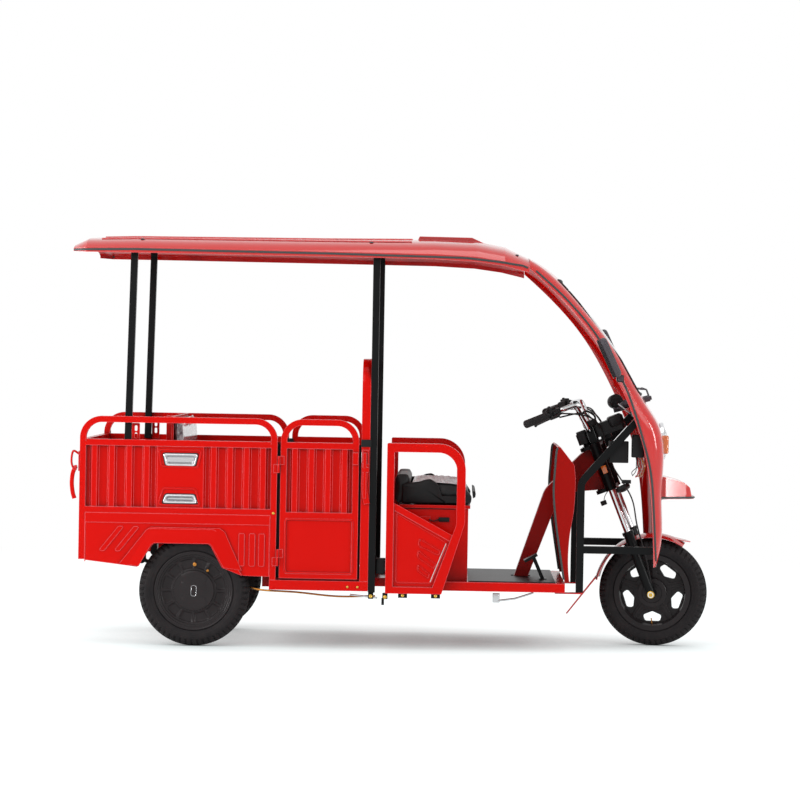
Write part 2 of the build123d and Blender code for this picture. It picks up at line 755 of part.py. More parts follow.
def door():
    """Right-hand side door: hooped frame, corrugated upper sheet and plain lower panel."""
    rear, front = door_rear_x, door_front_x
    inner_rear, inner_front = rear + square_tube, front - square_tube
    hoop = outline(
        (rear, door_bottom_z, 0), (rear, hoop_top_z, hoop_corner),
        (front, hoop_top_z, hoop_corner), (front, door_bottom_z, 0),
    )
    opening = outline(
        (inner_rear, door_bottom_z + 20, 0),
        (inner_rear, hoop_top_z - square_tube, hoop_corner - square_tube),
        (inner_front, hoop_top_z - square_tube, hoop_corner - square_tube),
        (inner_front, door_bottom_z + 20, 0),
    )
    sheet_bottom = door_mid_z + 23
    with BuildPart() as piece:
        with BuildSketch(side_plane(body_half_width)):
            add(hoop)
            add(opening, mode=Mode.SUBTRACT)
        extrude(amount=-tube_depth)
        for z_from in (rail_top_z - square_tube, door_mid_z):
            block(inner_rear - 1, inner_front + 1, -body_half_width, -body_inner_y, z_from, z_from + square_tube)
        line = corrugation(inner_rear - 1, inner_front + 1)
        height = rail_top_z - square_tube + 1 - sheet_bottom
        add(folded_sheet(right_wall_plane(sheet_bottom), line, -height))
        block(
            inner_rear - 1, inner_front + 1, -body_half_width + 3, -body_half_width + 3 + sheet,
            door_bottom_z + 19, door_mid_z + 1,
        )
        block(door_front_x - 26, door_front_x - 2, -body_half_width - 8, -body_half_width, latch_z, latch_z + 50)
        add(hinge_half(door_side=True))
    return piece.part


def gate_knuckles(on_gate):
    """The tailgate's hinge knuckles that belong to the gate, or to the rear panel."""
    with BuildPart() as piece:
        for middle in (-300, 0, 300):
            for offset, mine in ((-30, True), (0, False), (30, True)):
                if mine != on_gate:
                    continue
                y = middle + offset
                with Locations(Location((gate_hinge_x, y, gate_hinge_z), (90, 0, 0))):
                    Cylinder(gate_pin_radius, 30 - seat_gap)
                z_from, z_to = (gate_hinge_z, gate_bottom_z + 12) if on_gate else (gate_hinge_z - 22, gate_hinge_z)
                block(gate_hinge_x, body_rear_x + 1, y - 14.5, y + 14.5, z_from, z_to)
    return piece.part


def tailgate():
    """Drop-down tailgate: box frame with a corrugated sheet."""
    half = body_inner_y - gate_gap
    inner = half - square_tube
    front_x = body_rear_x + gate_thickness
    with BuildPart() as piece:
        block(body_rear_x, front_x, -half, half, gate_bottom_z, rail_top_z)
        block(
            body_rear_x, front_x, -inner, inner,
            gate_bottom_z + square_tube, rail_top_z - square_tube, mode=Mode.SUBTRACT,
        )
        plane = Plane(
            origin=(body_rear_x + corrugation_depth + 4, 0, gate_bottom_z + square_tube - 1),
            x_dir=(0, 1, 0), z_dir=(0, 0, 1),
        )
        add(folded_sheet(plane, corrugation(-inner - 1, inner + 1), rail_top_z - gate_bottom_z - 2 * square_tube + 2))
        add(gate_knuckles(on_gate=True))
    return piece.part


def rear_panel():
    """Sheet below the tailgate, with four holes for a number plate."""
    half = body_inner_y - seat_gap
    with BuildPart() as piece:
        block(body_rear_x, body_rear_x + 3, -half, half, skirt_rear_z, gate_hinge_z - 8)
        block(body_rear_x, panel_rear_x - seat_gap, -half, half, rear_rail_z - 3, rear_rail_z)
        block(body_rear_x, panel_rear_x - seat_gap, -half, half, skirt_rear_z, skirt_rear_z + 3)
        add(gate_knuckles(on_gate=False))
        with BuildSketch(Plane(origin=(body_rear_x, 0, plate_z), x_dir=(0, 1, 0), z_dir=(1, 0, 0))):
            with GridLocations(plate_spacing_y, plate_spacing_z, 2, 2):
                Circle(plate_hole_radius)
        extrude(amount=3, mode=Mode.SUBTRACT)
    return piece.part


def load_floor():
    """Load floor, the riser down to the footwell and the footwell floor, folded from one sheet."""
    half = body_inner_y - seat_gap
    thick = 3
    rear = panel_rear_x + seat_gap
    well_front = headboard_x - headboard_depth / 2 - seat_gap
    with BuildPart() as piece:
        with BuildSketch(side_plane(half)):
            add(outline(
                (rear, floor_z, 0), (panel_front_x, floor_z, 0), (panel_front_x, beam_top_z, 0),
                (well_front, beam_top_z, 0), (well_front, beam_top_z + thick, 0),
                (panel_front_x + thick, beam_top_z + thick, 0), (panel_front_x + thick, floor_z + thick, 0),
                (floor_lap_x, floor_z + thick, 0), (floor_lap_x, floor_z + thick - floor_lap_step, 0),
                (rear, floor_z + thick - floor_lap_step, 0),
            ))
        extrude(amount=-2 * half)
    return piece.part


def headboard():
    """Tall hoop behind the driver, sheeted up to the body's upper rail."""
    half = body_half_width
    tube = square_tube
    rear_x, front_x = headboard_x - headboard_depth / 2, headboard_x + headboard_depth / 2
    plane = Plane(origin=(rear_x, 0, 0), x_dir=(0, 1, 0), z_dir=(1, 0, 0))
    with BuildPart() as piece:
        with BuildSketch(plane):
            add(outline(
                (-half, beam_top_z, 0), (-half, headboard_top_z, headboard_corner),
                (half, headboard_top_z, headboard_corner), (half, beam_top_z, 0),
                (half - tube, beam_top_z, 0), (half - tube, headboard_top_z - tube, headboard_corner - tube),
                (-half + tube, headboard_top_z - tube, headboard_corner - tube), (-half + tube, beam_top_z, 0),
            ))
        extrude(amount=headboard_depth)
        for z_from in (rail_top_z - tube, lower_rail_z, headboard_rail_z):
            block(rear_x + 5, front_x - 5, -half + tube - 1, half - tube + 1, z_from, z_from + tube)
        block(front_x - 8, front_x - 8 + sheet, -half + tube - 1, half - tube + 1, beam_top_z, rail_top_z - 1)
        for side in (-1, 1):
            y_from, y_to = sorted((side * half, side * (half + 4)))
            block(rear_x + 4, front_x - 6, y_from, y_to, latch_z - 10, latch_z + 62)
            y_from, y_to = sorted((side * (half + 3), side * (half + 12)))
            block(rear_x + 8, front_x - 14, y_from, y_to, latch_z - 140, latch_z + 50)
    return piece.part


# ================================================================ passenger bench
def bench_frame():
    """Two uprights and a board that carry the bench's back pad."""
    with BuildPart() as piece:
        for side in (-1, 1):
            y = side * bench_upright_y
            block(bench_back_x - 44, bench_back_x, y - 13, y + 13, floor_z + 3 + seat_gap, bench_top_z - 8)
        block(bench_back_x - 10, bench_back_x, -bench_half, bench_half, bench_board_z, bench_top_z - 8)
    return piece.part


def bench_back():
    """Wrapped back pad of the bench, thicker below."""
    rear = bench_back_x + seat_gap
    with BuildPart() as piece:
        with BuildSketch(side_plane(bench_half)):
            add(outline(
                (rear, bench_pad_bottom_z, 10), (rear + bench_pad_foot, bench_pad_bottom_z, 20),
                (rear + bench_pad_head, bench_top_z + 8, 10), (rear, bench_top_z, 6),
            ))
        extrude(amount=-2 * bench_half)
    return piece.part


def bench_cushion():
    with BuildPart() as piece:
        block(
            bench_back_x + 20, bench_front_x, -bench_half, bench_half,
            floor_z + 3 + seat_gap, floor_z + 3 + bench_seat_thickness,
        )
        fillet(piece.edges().filter_by(Axis.Z), 25)
        fillet(piece.faces().sort_by(Axis.Z)[-1].edges(), 20)
    return piece.part


# ================================================================ canopy
def roof_solid(inset):
    """The canopy's outer form drawn in by inset on every side but the underside."""
    with BuildPart() as piece:
        for x, half, low, lip, crown in roof_sections:
            half, lip, crown = half - inset, lip - inset / 2, crown - inset
            rise = crown - lip
            with BuildSketch(Plane(origin=(x, 0, 0), x_dir=(0, 1, 0), z_dir=(1, 0, 0))):
                with BuildLine():
                    Line((-half, low - inset), (half, low - inset))
                    Line((half, low - inset), (half, lip))
                    Spline(
                        (half, lip), (half * 0.93, lip + rise * 0.42), (half * 0.74, lip + rise * 0.8),
                        (0, crown),
                        (-half * 0.74, lip + rise * 0.8), (-half * 0.93, lip + rise * 0.42), (-half, lip),
                    )
                    Line((-half, lip), (-half, low - inset))
                make_face()
        loft(ruled=True)
    return piece.part


def roof_shell():
    """Moulded canopy, open below, with the raised panel over the driver."""
    with BuildPart() as piece:
        add(roof_solid(0))
        crown = roof_sections[4][4]
        with BuildSketch(side_plane(hump_half)):
            add(outline(
                (hump_rear_x, crown - 20, 0), (hump_rear_x + 12, crown + hump_height, 4),
                (hump_front_x - 60, crown + hump_height - 2, 8), (hump_front_x, crown - 20, 0),
            ))
        extrude(amount=-2 * hump_half)
        add(roof_solid(moulding), mode=Mode.SUBTRACT)
    return piece.part


def roof_bow(x, post_y):
    """A cross tube that follows the underside of the canopy, with a foot on each post."""
    inset = moulding + seat_gap
    half = post_size / 2
    foot = post_y - half
    with BuildPart() as piece:
        add(roof_solid(inset))
        block(x - half, x + half, -foot, foot, post_top_z, 1800, mode=Mode.INTERSECT)
        add(roof_solid(inset + post_size * 0.8), mode=Mode.SUBTRACT)
    with BuildPart() as feet:
        add(roof_solid(inset))
        block(x - half, x + half, -foot - post_size, foot + post_size, post_top_z, 1800, mode=Mode.INTERSECT)
        block(x - half, x + half, -foot, foot, post_top_z, 1800, mode=Mode.SUBTRACT)
    with BuildPart() as bow:
        add(piece.part)
        add(feet.part)
    return bow.part


def roof_spine():
    """The lengthwise tube under the middle of the canopy."""
    half = post_size / 2
    with BuildPart() as piece:
        add(roof_solid(moulding + seat_gap))
        block(rear_post_top_x, front_post_x, -half, half, post_top_z, 1800, mode=Mode.INTERSECT)
        add(roof_solid(moulding + seat_gap + post_size * 0.8), mode=Mode.SUBTRACT)
    return piece.part


def roof_frame():
    """The bows over the front and rear posts and the lengthwise tube between them."""
    with BuildPart() as piece:
        add(roof_bow(front_post_x, front_post_y))
        add(roof_bow(rear_post_top_x, rear_post_y))
        add(roof_spine())
    return piece.part


def roof_posts():
    """Four square posts; the rear pair leans forwards and stands inside the body."""
    half = post_size / 2
    top = post_top_z - seat_gap
    with BuildPart() as piece:
        for side in (-1, 1):
            y = side * front_post_y
            block(front_post_x - half, front_post_x + half, y - half, y + half, front_post_bottom_z, top)
            with BuildSketch(side_plane(-side * rear_post_y + half)):
                add(outline(
                    (rear_post_foot_x - half, rear_post_bottom_z, 0), (rear_post_foot_x + half, rear_post_bottom_z, 0),
                    (rear_post_top_x + half, top, 0), (rear_post_top_x - half, top, 0),
                ))
            extrude(amount=-post_size)
    return piece.part


def post_bracket():
    """Right-hand slotted plate that bolts a rear post to the upper rail."""
    rear_x = rear_post_foot_x + post_size / 2 + 2
    with BuildPart() as piece:
        with BuildSketch(side_plane(body_inner_y - seat_gap)):
            add(outline(
                (rear_x, rear_post_bottom_z, 4), (rear_x + 34, rear_post_bottom_z, 4),
                (rear_x + 34, rear_post_bottom_z + 88, 6), (rear_x, rear_post_bottom_z + 88, 6),
            ))
            with Locations(
                (rear_x + 18, rear_post_bottom_z + 66), (rear_x + 18, rear_post_bottom_z + 66 - bracket_slot_spacing),
            ):
                SlotOverall(bracket_slot_length, 2 * bracket_slot_radius, rotation=90, mode=Mode.SUBTRACT)
        extrude(amount=-4)
    return piece.part


# ================================================================ front shell
def shifted(points, along, up):
    return [(x + along, z + up) for x, z in points]


def front_solid(inset):
    """The front's outer form, drawn in by inset at the front and the sides, and filled in behind."""
    front = shifted(front_line, -inset, -inset / 2)
    rear = shifted(rear_edge, -200, 0)
    turn = radians(front_turn)
    start = Plane(origin=(front_turn_x, 0, 0), x_dir=(cos(turn), -sin(turn), 0), z_dir=(-sin(turn), -cos(turn), 0))
    front = shifted(front, -front_turn_x, 0)
    rear = shifted(rear, -front_turn_x, 0)
    with BuildPart() as piece:
        with BuildSketch(start):
            with BuildLine():
                Spline(*front)
                Line(front[-1], rear[-1])
                Spline(*rear[::-1])
                Line(rear[0], front[0])
            make_face()
        revolve(axis=Axis((front_turn_x, 0, 0), (0, 0, 1)), revolution_arc=2 * front_turn)
        with BuildSketch(Plane.YZ):
            with BuildLine():
                right = [(half - inset, z) for half, z in width_line]
                left = [(-across, z) for across, z in right]
                Spline(*right)
                Spline(*left)
                Line(right[0], left[0])
                Line(right[-1], left[-1])
            make_face()
        extrude(amount=2000, mode=Mode.INTERSECT)
        long_edges = piece.edges().group_by(SortBy.LENGTH)[-1]
        fillet(long_edges.group_by(Axis.X)[-1], front_corner - inset)
    return piece.part


def behind_front():
    """All that lies behind the rear edge of the pillars, the nose sides and the legs."""
    with BuildPart() as piece:
        with BuildSketch(side_plane(600)):
            with BuildLine():
                Spline(*rear_edge)
                Polyline(rear_edge[-1], (rear_edge[-1][0], 300), (300, 300), (300, 1700), (roof_front_x + 1, 1700), rear_edge[0])
            make_face()
        extrude(amount=-1200)
    return piece.part


def screen_face(clearance):
    return outline(
        (-screen_half_width + 18 - clearance, screen_bottom_z - clearance, 60),
        (screen_half_width - 18 + clearance, screen_bottom_z - clearance, 60),
        (screen_half_width + clearance, screen_top_z + clearance, 50),
        (-screen_half_width - clearance, screen_top_z + clearance, 50),
    )


def visor_solid(inset):
    """The beak over the wheel: flat below, rounded in plan."""
    with BuildPart() as piece:
        with BuildSketch(Plane.XZ):
            edge, tip = visor_edge_z - inset, visor_tip_x - inset * 2
            add(outline(
                (1100, edge, 0), (tip, edge, 0), (tip - 1, edge + 10, 0), (tip - 14, edge + 12, 3),
                (visor_tip_x - 22 - inset, 690 - inset, 14), (1236, 713 - inset, 30), (1135, 740 - inset, 0),
                (1100, 740 - inset, 0),
            ))
        extrude(amount=400, both=True)
        with BuildSketch(Plane.XY):
            half = visor_half_width - inset
            add(outline(
                (1000, -half - 40, 0), (1150, -half - 20, 40), (visor_tip_x - inset, -half + 60, 80),
                (visor_tip_x - inset, half - 60, 80), (1150, half + 20, 40), (1000, half + 40, 0),
            ))
        extrude(amount=1000, mode=Mode.INTERSECT)
    return piece.part


def front_shell():
    """Pillars, nose with the beak over the wheel, and the legs beside the wheel, in one moulding."""
    with BuildPart() as piece:
        add(front_solid(0))
        add(visor_solid(0))
        add(behind_front(), mode=Mode.SUBTRACT)
        add(front_solid(moulding), mode=Mode.SUBTRACT)
        add(visor_solid(moulding), mode=Mode.SUBTRACT)
        with BuildSketch(Plane.YZ):
            add(screen_face(seat_gap))
        extrude(amount=2000, mode=Mode.SUBTRACT)
        with BuildSketch(Plane.YZ):
            add(outline(
                (-leg_inner_y - 10, 300, 0), (-leg_inner_y, leg_arch_z, 70),
                (leg_inner_y, leg_arch_z, 70), (leg_inner_y + 10, 300, 0),
            ))
        extrude(amount=2000, mode=Mode.SUBTRACT)
        with BuildSketch(Plane.YZ.offset(1000)):
            with Locations((0, lamp_z)):
                Circle(lamp_radius + seat_gap)
        extrude(amount=200, mode=Mode.SUBTRACT)
        with Locations(wiper_line(3) * Location((0, 0, 0), (0, 0, 90))):
            Cylinder(wiper_spindle_radius + seat_gap, 70, mode=Mode.SUBTRACT)
    return piece.part


def windscreen():
    """Curved clear screen, flush in the shell's opening."""
    with BuildPart() as piece:
        add(front_solid(0))
        with BuildSketch(Plane.YZ):
            add(screen_face(0))
        extrude(amount=2000, mode=Mode.INTERSECT)
        add(front_solid(screen_thickness), mode=Mode.SUBTRACT)
    return piece.part


def headlamp():
    """Domed lens on its round housing, let into the nose."""
    dome_height = 29
    dome_radius = (lamp_radius**2 + dome_height**2) / (2 * dome_height)
    with BuildPart() as piece:
        with BuildSketch(Plane.XZ):
            with BuildLine():
                Polyline(
                    (lamp_face_x - 110, lamp_z), (lamp_face_x - 110, lamp_z + lamp_radius * 0.7),
                    (lamp_face_x - 30, lamp_z + lamp_radius), (lamp_face_x - 8, lamp_z + lamp_radius),
                )
                RadiusArc((lamp_face_x - 8, lamp_z + lamp_radius), (lamp_face_x + 21, lamp_z), dome_radius)
                Line((lamp_face_x + 21, lamp_z), (lamp_face_x - 110, lamp_z))
            make_face()
        revolve(axis=Axis((0, 0, lamp_z), (1, 0, 0)))
    return piece.part


def turn_lamp():
    """Right-hand turn lamp: an upright rounded lens beside the headlamp."""
    with BuildPart() as piece:
        half = turn_lamp_width / 2
        block(
            1110, 1164, -turn_lamp_y - half, -turn_lamp_y + half, lamp_z - turn_lamp_low, lamp_z + turn_lamp_high,
        )
        fillet(piece.edges().filter_by(Axis.Z), 12)
        fillet(piece.faces().sort_by(Axis.X)[-1].edges(), 8)
        add(front_solid(-seat_gap), mode=Mode.SUBTRACT)
    return piece.part


def tail_lamp():
    """Right-hand tail lamp cluster on the rear panel."""
    with BuildPart() as piece:
        y_near, y_far = tail_lamp_y
        block(body_rear_x - tail_lamp_depth, body_rear_x - seat_gap, -y_far, -y_near, *tail_lamp_z)
        fillet(piece.faces().sort_by(Axis.X)[0].edges(), 4)
    return piece.part


# ================================================================ driver's place
def steer_plane():
    """Across is forwards from the fork legs, up is along them; the origin is the front axle."""
    angle = radians(rake)
    return Plane(
        origin=(front_axle_x, 0, axle_z), x_dir=(cos(angle), 0, sin(angle)), z_dir=(-sin(angle), 0, cos(angle)),
    )


steer = steer_plane()
steer_axis = Axis(steer.from_local_coords(Vector(-fork_offset, 0, 0)), steer.z_dir)


def on_fork(forward, up):
    """(X, Z) of a point given along and across the straight-ahead fork."""
    point = steer.from_local_coords(Vector(forward, 0, up))
    return point.X, point.Z


def down_tube():
    """Box-section down tube, its gusset and the head tube."""
    head_low = shroud_bottom + yoke_plate + seat_gap
    head_high = yoke_top - yoke_plate - seat_gap
    top_x, top_z = on_fork(-fork_offset, head_high)
    low_x, low_z = on_fork(-fork_offset, head_low)
    back_x, back_z = on_fork(-fork_offset - head_tube_radius - 12, head_high - 6)
    under_x, under_z = on_fork(-fork_offset - head_tube_radius - 8, head_low + 4)
    with BuildPart() as piece:
        with BuildSketch(side_plane(down_tube_half)):
            add(outline(
                (down_tube_foot_x - 30, deck_z + sheet, 0), (646, 668, 90), (back_x, back_z, 0), (top_x, top_z, 0),
                (low_x, low_z, 0), (under_x, under_z, 0), (716, 655, 70), (down_tube_foot_x + 30, deck_z + sheet, 0),
            ))
        extrude(amount=-2 * down_tube_half)
        with BuildSketch(steer.offset(head_low)):
            with Locations((-fork_offset, 0)):
                Circle(head_tube_radius)
        extrude(amount=head_high - head_low)
        with BuildSketch(steer.offset(head_low - 60)):
            with Locations((-fork_offset, 0)):
                Circle(head_tube_bore)
        extrude(amount=head_high - head_low + 120, mode=Mode.SUBTRACT)
    return piece.part


def deck():
    """Driver's floor: a sheet over the rails with a down-turned front edge."""
    with BuildPart() as piece:
        block(deck_rear_x, deck_front_x, -deck_half_width, deck_half_width, deck_z, deck_z + sheet)
        fillet(piece.edges().filter_by(Axis.Z).group_by(Axis.X)[-1], 30)
    return piece.part


def deck_mat():
    """Ribbed mat on the deck, cut round the down tube."""
    z_from = deck_z + sheet + seat_gap
    with BuildPart() as piece:
        block(
            seat_base_front_x + 4, deck_front_x - 40, -deck_half_width + 12, deck_half_width - 12,
            z_from, z_from + mat_thickness,
        )
        block(
            down_tube_foot_x - 42, down_tube_foot_x + 42, -down_tube_half - 3, down_tube_half + 3,
            z_from - 1, z_from + 10, mode=Mode.SUBTRACT,
        )
        rear_x, front_x, width = pedal_foot
        block(
            rear_x - 2, front_x + 2, pedal_y - width / 2 - 2, pedal_y + width / 2 + 2,
            z_from - 1, z_from + 10, mode=Mode.SUBTRACT,
        )
    return piece.part


def seat_base():
    """Battery box under the driver's seat, with the plate that carries the cushion."""
    floor = deck_z + sheet + seat_gap
    half = seat_base_half_width
    with BuildPart() as piece:
        block(seat_base_rear_x, seat_base_front_x, -half, half, floor, seat_plate_z)
        block(
            seat_base_rear_x + 3, seat_base_front_x - 3, -half + 3, half - 3, floor - 1, seat_plate_z - 3,
            mode=Mode.SUBTRACT,
        )
        block(
            seat_base_rear_x - 8, seat_base_front_x + 8, -half - 6, half + 6,
            seat_plate_z, seat_plate_z + seat_plate_thickness,
        )
    return piece.part


def battery_pack():
    """The drive battery as one plain block inside the seat base."""
    floor = deck_z + sheet + seat_gap
    with BuildPart() as piece:
        block(
            seat_base_rear_x + 3 + seat_gap, seat_base_front_x - 40, -seat_base_half_width + 60,
            seat_base_half_width - 60, floor, floor + 220,
        )
    return piece.part


def driver_cushion():
    z_from = seat_plate_z + seat_plate_thickness + seat_gap
    half = seat_base_half_width - 10
    with BuildPart() as piece:
        with BuildSketch(side_plane(half)):
            add(outline((cushion_rear_x, z_from, 8), (cushion_front_x - 5, z_from, 10), *cushion_top))
        extrude(amount=-2 * half)
    return piece.part


def driver_roll():
    """Upright padded roll at the back of the driver's cushion."""
    z_from = seat_plate_z + seat_plate_thickness + seat_gap
    half = seat_base_half_width - 10
    with BuildPart() as piece:
        block(cushion_rear_x - 1 - roll_thickness, cushion_rear_x - 1, -half, half, z_from, roll_top_z)
        fillet(piece.faces().sort_by(Axis.Z)[-1].edges(), 14)
    return piece.part


def guard():
    """Right-hand guard beside the driver: a bent box tube with a panel and its diagonal brace."""
    tube = guard_tube
    outer = (
        (guard_rear_x, guard_bottom_z, 0), (guard_rear_x, guard_top_z, 6), (guard_front_x, guard_top_z, 112),
        (guard_front_x, guard_elbow_z, 60), (guard_foot_x, guard_bottom_z, 0),
    )
    inner = (
        (guard_rear_x + tube - 3, guard_bottom_z + 28, 0), (guard_rear_x + tube - 3, guard_top_z - tube - 3, 4),
        (guard_front_x - tube - 2, guard_top_z - tube - 3, 78), (guard_front_x - tube - 2, guard_elbow_z - 6, 40),
        (guard_foot_x - 38, guard_bottom_z + 28, 0),
    )
    panel_rear_x = guard_rear_x + tube - 11
    brace = outline(
        (panel_rear_x, guard_panel_top_z - 8, 0), (panel_rear_x, guard_panel_top_z + 22, 0),
        (guard_front_x - tube + 8, 472, 0), (guard_front_x - tube - 2, 446, 0),
    )
    panel = outline(
        (panel_rear_x, guard_bottom_z + 20, 0), (panel_rear_x, guard_panel_top_z, 0),
        (guard_front_x - tube - 4, 456, 0), (guard_foot_x - 36, guard_bottom_z + 20, 0),
    )
    with BuildPart() as piece:
        with BuildSketch(side_plane(body_half_width)):
            add(outline(*outer))
            add(outline(*inner), mode=Mode.SUBTRACT)
        extrude(amount=-guard_depth)
        with BuildSketch(side_plane(body_half_width - 5)):
            add(brace)
        extrude(amount=-guard_depth + 10)
        with BuildSketch(side_plane(body_half_width - 8)):
            add(panel)
        extrude(amount=-sheet)
    return piece.part


def leg_shield():
    """Moulded shield before the driver's legs: a front wall with side walls, open behind."""
    wall = moulding
    half = shield_half
    foot = deck_z + sheet + seat_gap
    rear = (*shield_rear, (deck_front_x, foot))
    front = shield_front
    with BuildPart() as piece:
        with BuildSketch(side_plane(half)):
            with BuildLine():
                Spline(*rear)
                Spline(*front[1:])
                Line(rear[0], front[0])
                Line(front[0], front[1])
                Line(rear[-1], front[-1])
            make_face()
        extrude(amount=-2 * half)
        with BuildSketch(side_plane(half - wall)):
            with BuildLine():
                Spline(*shifted(front[1:], -wall, 0))
                inner_top = shifted(front[:1], -wall, -2)[0]
                Line(inner_top, shifted(front[1:2], -wall, 0)[0])
                Line(inner_top, (500, 900))
                Line((500, 900), (500, foot))
                Line((500, foot), shifted(front[-1:], -wall, 0)[0])
            make_face()
        extrude(amount=-2 * (half - wall), mode=Mode.SUBTRACT)
        block(600, 900, -down_tube_half - 12, down_tube_half + 12, 600, 900, mode=Mode.SUBTRACT)
    return piece.part


def nose_mounts(x_from, z_middle):
    """Ends of a pair of tubes that reach the inside of the nose, cut to its wall."""
    half = subframe_tube / 2
    with BuildPart() as piece:
        for side in (-1, 1):
            y = side * subframe_y
            block(x_from, visor_tip_x, y - half, y + half, z_middle - half, z_middle + half)
        add(front_solid(moulding + seat_gap), mode=Mode.INTERSECT)
    return piece.part


def front_subframe():
    """Black tube frame that carries the nose: uprights, stays and bars on both sides, and a cross tube."""
    half = subframe_tube / 2
    slope = subframe_tube * 0.35
    with BuildPart() as piece:
        for side in (-1, 1):
            with BuildSketch(side_plane(-side * subframe_y + half)):
                add(outline(
                    (subframe_x - half, beam_bottom_z + seat_gap, 0), (subframe_x + half, beam_bottom_z + seat_gap, 0),
                    (subframe_x + half, subframe_bend_z - 6, 40),
                    (subframe_top_x + slope, subframe_top_z - slope, 0),
                    (subframe_top_x - slope, subframe_top_z + slope, 0),
                    (subframe_x - half, subframe_bend_z + 6, 71),
                ))
                add(outline(
                    (subframe_x, subframe_bar_z - half, 0), (subframe_bar_x, subframe_bar_z - half, 0),
                    (subframe_bar_x, subframe_bar_z + half, 0), (subframe_x, subframe_bar_z + half, 0),
                ))
            extrude(amount=-subframe_tube)
        block(
            subframe_top_x - half, subframe_top_x + half, -subframe_y, subframe_y,
            subframe_top_z - half, subframe_top_z + half,
        )
        add(nose_mounts(subframe_bar_x - 1, subframe_bar_z))
        add(nose_mounts(subframe_top_x, subframe_top_z))
    return piece.part


def subframe_joint_plane():
    """The plane across both tubes of the subframe at their bends; the stays lie above it."""
    x, z = subframe_joint
    lean = radians(subframe_joint_lean)
    return Plane(origin=(x, 0, z), z_dir=(sin(lean), 0, cos(lean)))


def brake_pedal():
    """Pedal pad on its arm, with the bracket that bolts to the deck."""
    foot = deck_z + sheet
    rear_x, front_x, width = pedal_foot
    with BuildPart() as piece:
        with BuildSketch(side_plane(-pedal_y + 9)):
            add(outline((630, foot + 6, 0), (646, foot + 6, 0), (604, 390, 0), (590, 383, 0)))
        extrude(amount=-18)
        with BuildSketch(side_plane(-pedal_y + 35)):
            add(outline((562, 362, 2), (616, 392, 2), (610, 402, 2), (556, 372, 2)))
        extrude(amount=-70)
        block(rear_x, front_x, pedal_y - width / 2, pedal_y + width / 2, foot + seat_gap, foot + 8)
    return piece.part


# ================================================================ mirrors and wiper
def door_mirror(side, middle):
    """A mirror beside the pillar, leaning as the pillar does, on a stalk from the shell's side."""
    x, z = middle
    lean = radians(mirror_tilt)
    face = Plane(origin=(x, side * mirror_y, z), x_dir=(0, 1, 0), z_dir=(cos(lean), 0, sin(lean)))
    foot_x = x + sin(lean) * mirror_height / 2 + 8
    foot_z = z - cos(lean) * mirror_height / 2 - 6
    y_from, y_to = sorted((side * (mirror_y + 12), side * screen_half_width))
    with BuildPart() as housing:
        with BuildSketch(face.offset(-mirror_depth / 2)):
            RectangleRounded(mirror_width, mirror_height, 28)
        extrude(amount=mirror_depth)
        fillet(housing.faces().sort_by(Axis.X)[-1].edges(), 16)
    with BuildPart() as piece:
        block(foot_x - 11, foot_x + 11, y_from, y_to, foot_z - 11, foot_z + 11)
        arm_from, arm_to = sorted((side * (screen_half_width + 8), side * (screen_half_width + 34)))
        block(foot_x - 48, foot_x + 11, arm_from, arm_to, foot_z - 11, foot_z + 11)
        add(front_solid(-seat_gap), mode=Mode.SUBTRACT)
        add(housing.part)
    return piece.part


def wiper_line(distance):
    """A location on the wiper's spindle, so far out from the shell's wall."""
    lean = radians(wiper_tilt)
    x, z = wiper_wall
    return Location((x + cos(lean) * distance, 0, z + sin(lean) * distance), (0, 90 - wiper_tilt, 0))


def wiper():
    """Wiper motor inside, below the screen, and its spindle, arm and blade outside."""
    blade_x, blade_z = wiper_blade
    blade_from, blade_to = wiper_blade_y
    with BuildPart() as piece:
        with Locations(wiper_line(12)):
            Cylinder(14, 34)
        with Locations(wiper_line(24)):
            Cylinder(9, 26)
        add(round_tube([(1092, 0, 1070), (blade_x + 22, 90, 1104), (blade_x + 8, 190, blade_z + 4)], [60], 4))
        block(blade_x - 6, blade_x + 12, blade_from, blade_to, blade_z - 3, blade_z + 5)
        add(front_solid(-seat_gap), mode=Mode.SUBTRACT)
        with Locations(wiper_line(-50)):
            Cylinder(wiper_spindle_radius, 130)
        with Locations(wiper_line(-112)):
            Cylinder(25, 46)
        with Locations(wiper_line(-74)):
            Cylinder(19, 34)
    return piece.part


# ================================================================ steering, drawn straight ahead in the fork's plane
def fork_point(forward, side, up):
    """A point given forward from the legs, to the left and up the fork."""
    return steer.from_local_coords(Vector(forward, side, up))


def leg_cylinder(radius, low, high, forward=0.0, side=0.0):
    """A cylinder along the fork, between two heights."""
    with BuildPart() as piece:
        with BuildSketch(steer.offset(low)):
            with Locations((forward, side)):
                Circle(radius)
        extrude(amount=high - low)
    return piece.part


def fork_box(forward_from, forward_to, side_from, side_to, low, high, corner=0.0):
    """A block square to the fork."""
    with BuildPart() as piece:
        with BuildSketch(steer.offset(low)):
            with Locations(((forward_from + forward_to) / 2, (side_from + side_to) / 2)):
                if corner:
                    RectangleRounded(forward_to - forward_from, side_to - side_from, corner)
                else:
                    Rectangle(forward_to - forward_from, side_to - side_from)
        extrude(amount=high - low)
    return piece.part


def fork_sliders():
    """The two black lower legs, with a cap ring on top and the axle's eye below."""
    with BuildPart() as piece:
        for side in (-fork_half, fork_half):
            add(leg_cylinder(slider_radius, -10, slider_top, side=side))
            add(leg_cylinder(slider_radius + 3.5, slider_top - 14, slider_top, side=side))
            wheel_cylinder(front_axle_x, side, slider_radius - 3, 2 * slider_radius)
        wheel_cylinder(front_axle_x, 0, front_axle_radius + seat_gap, 400, mode=Mode.SUBTRACT)
    return piece.part


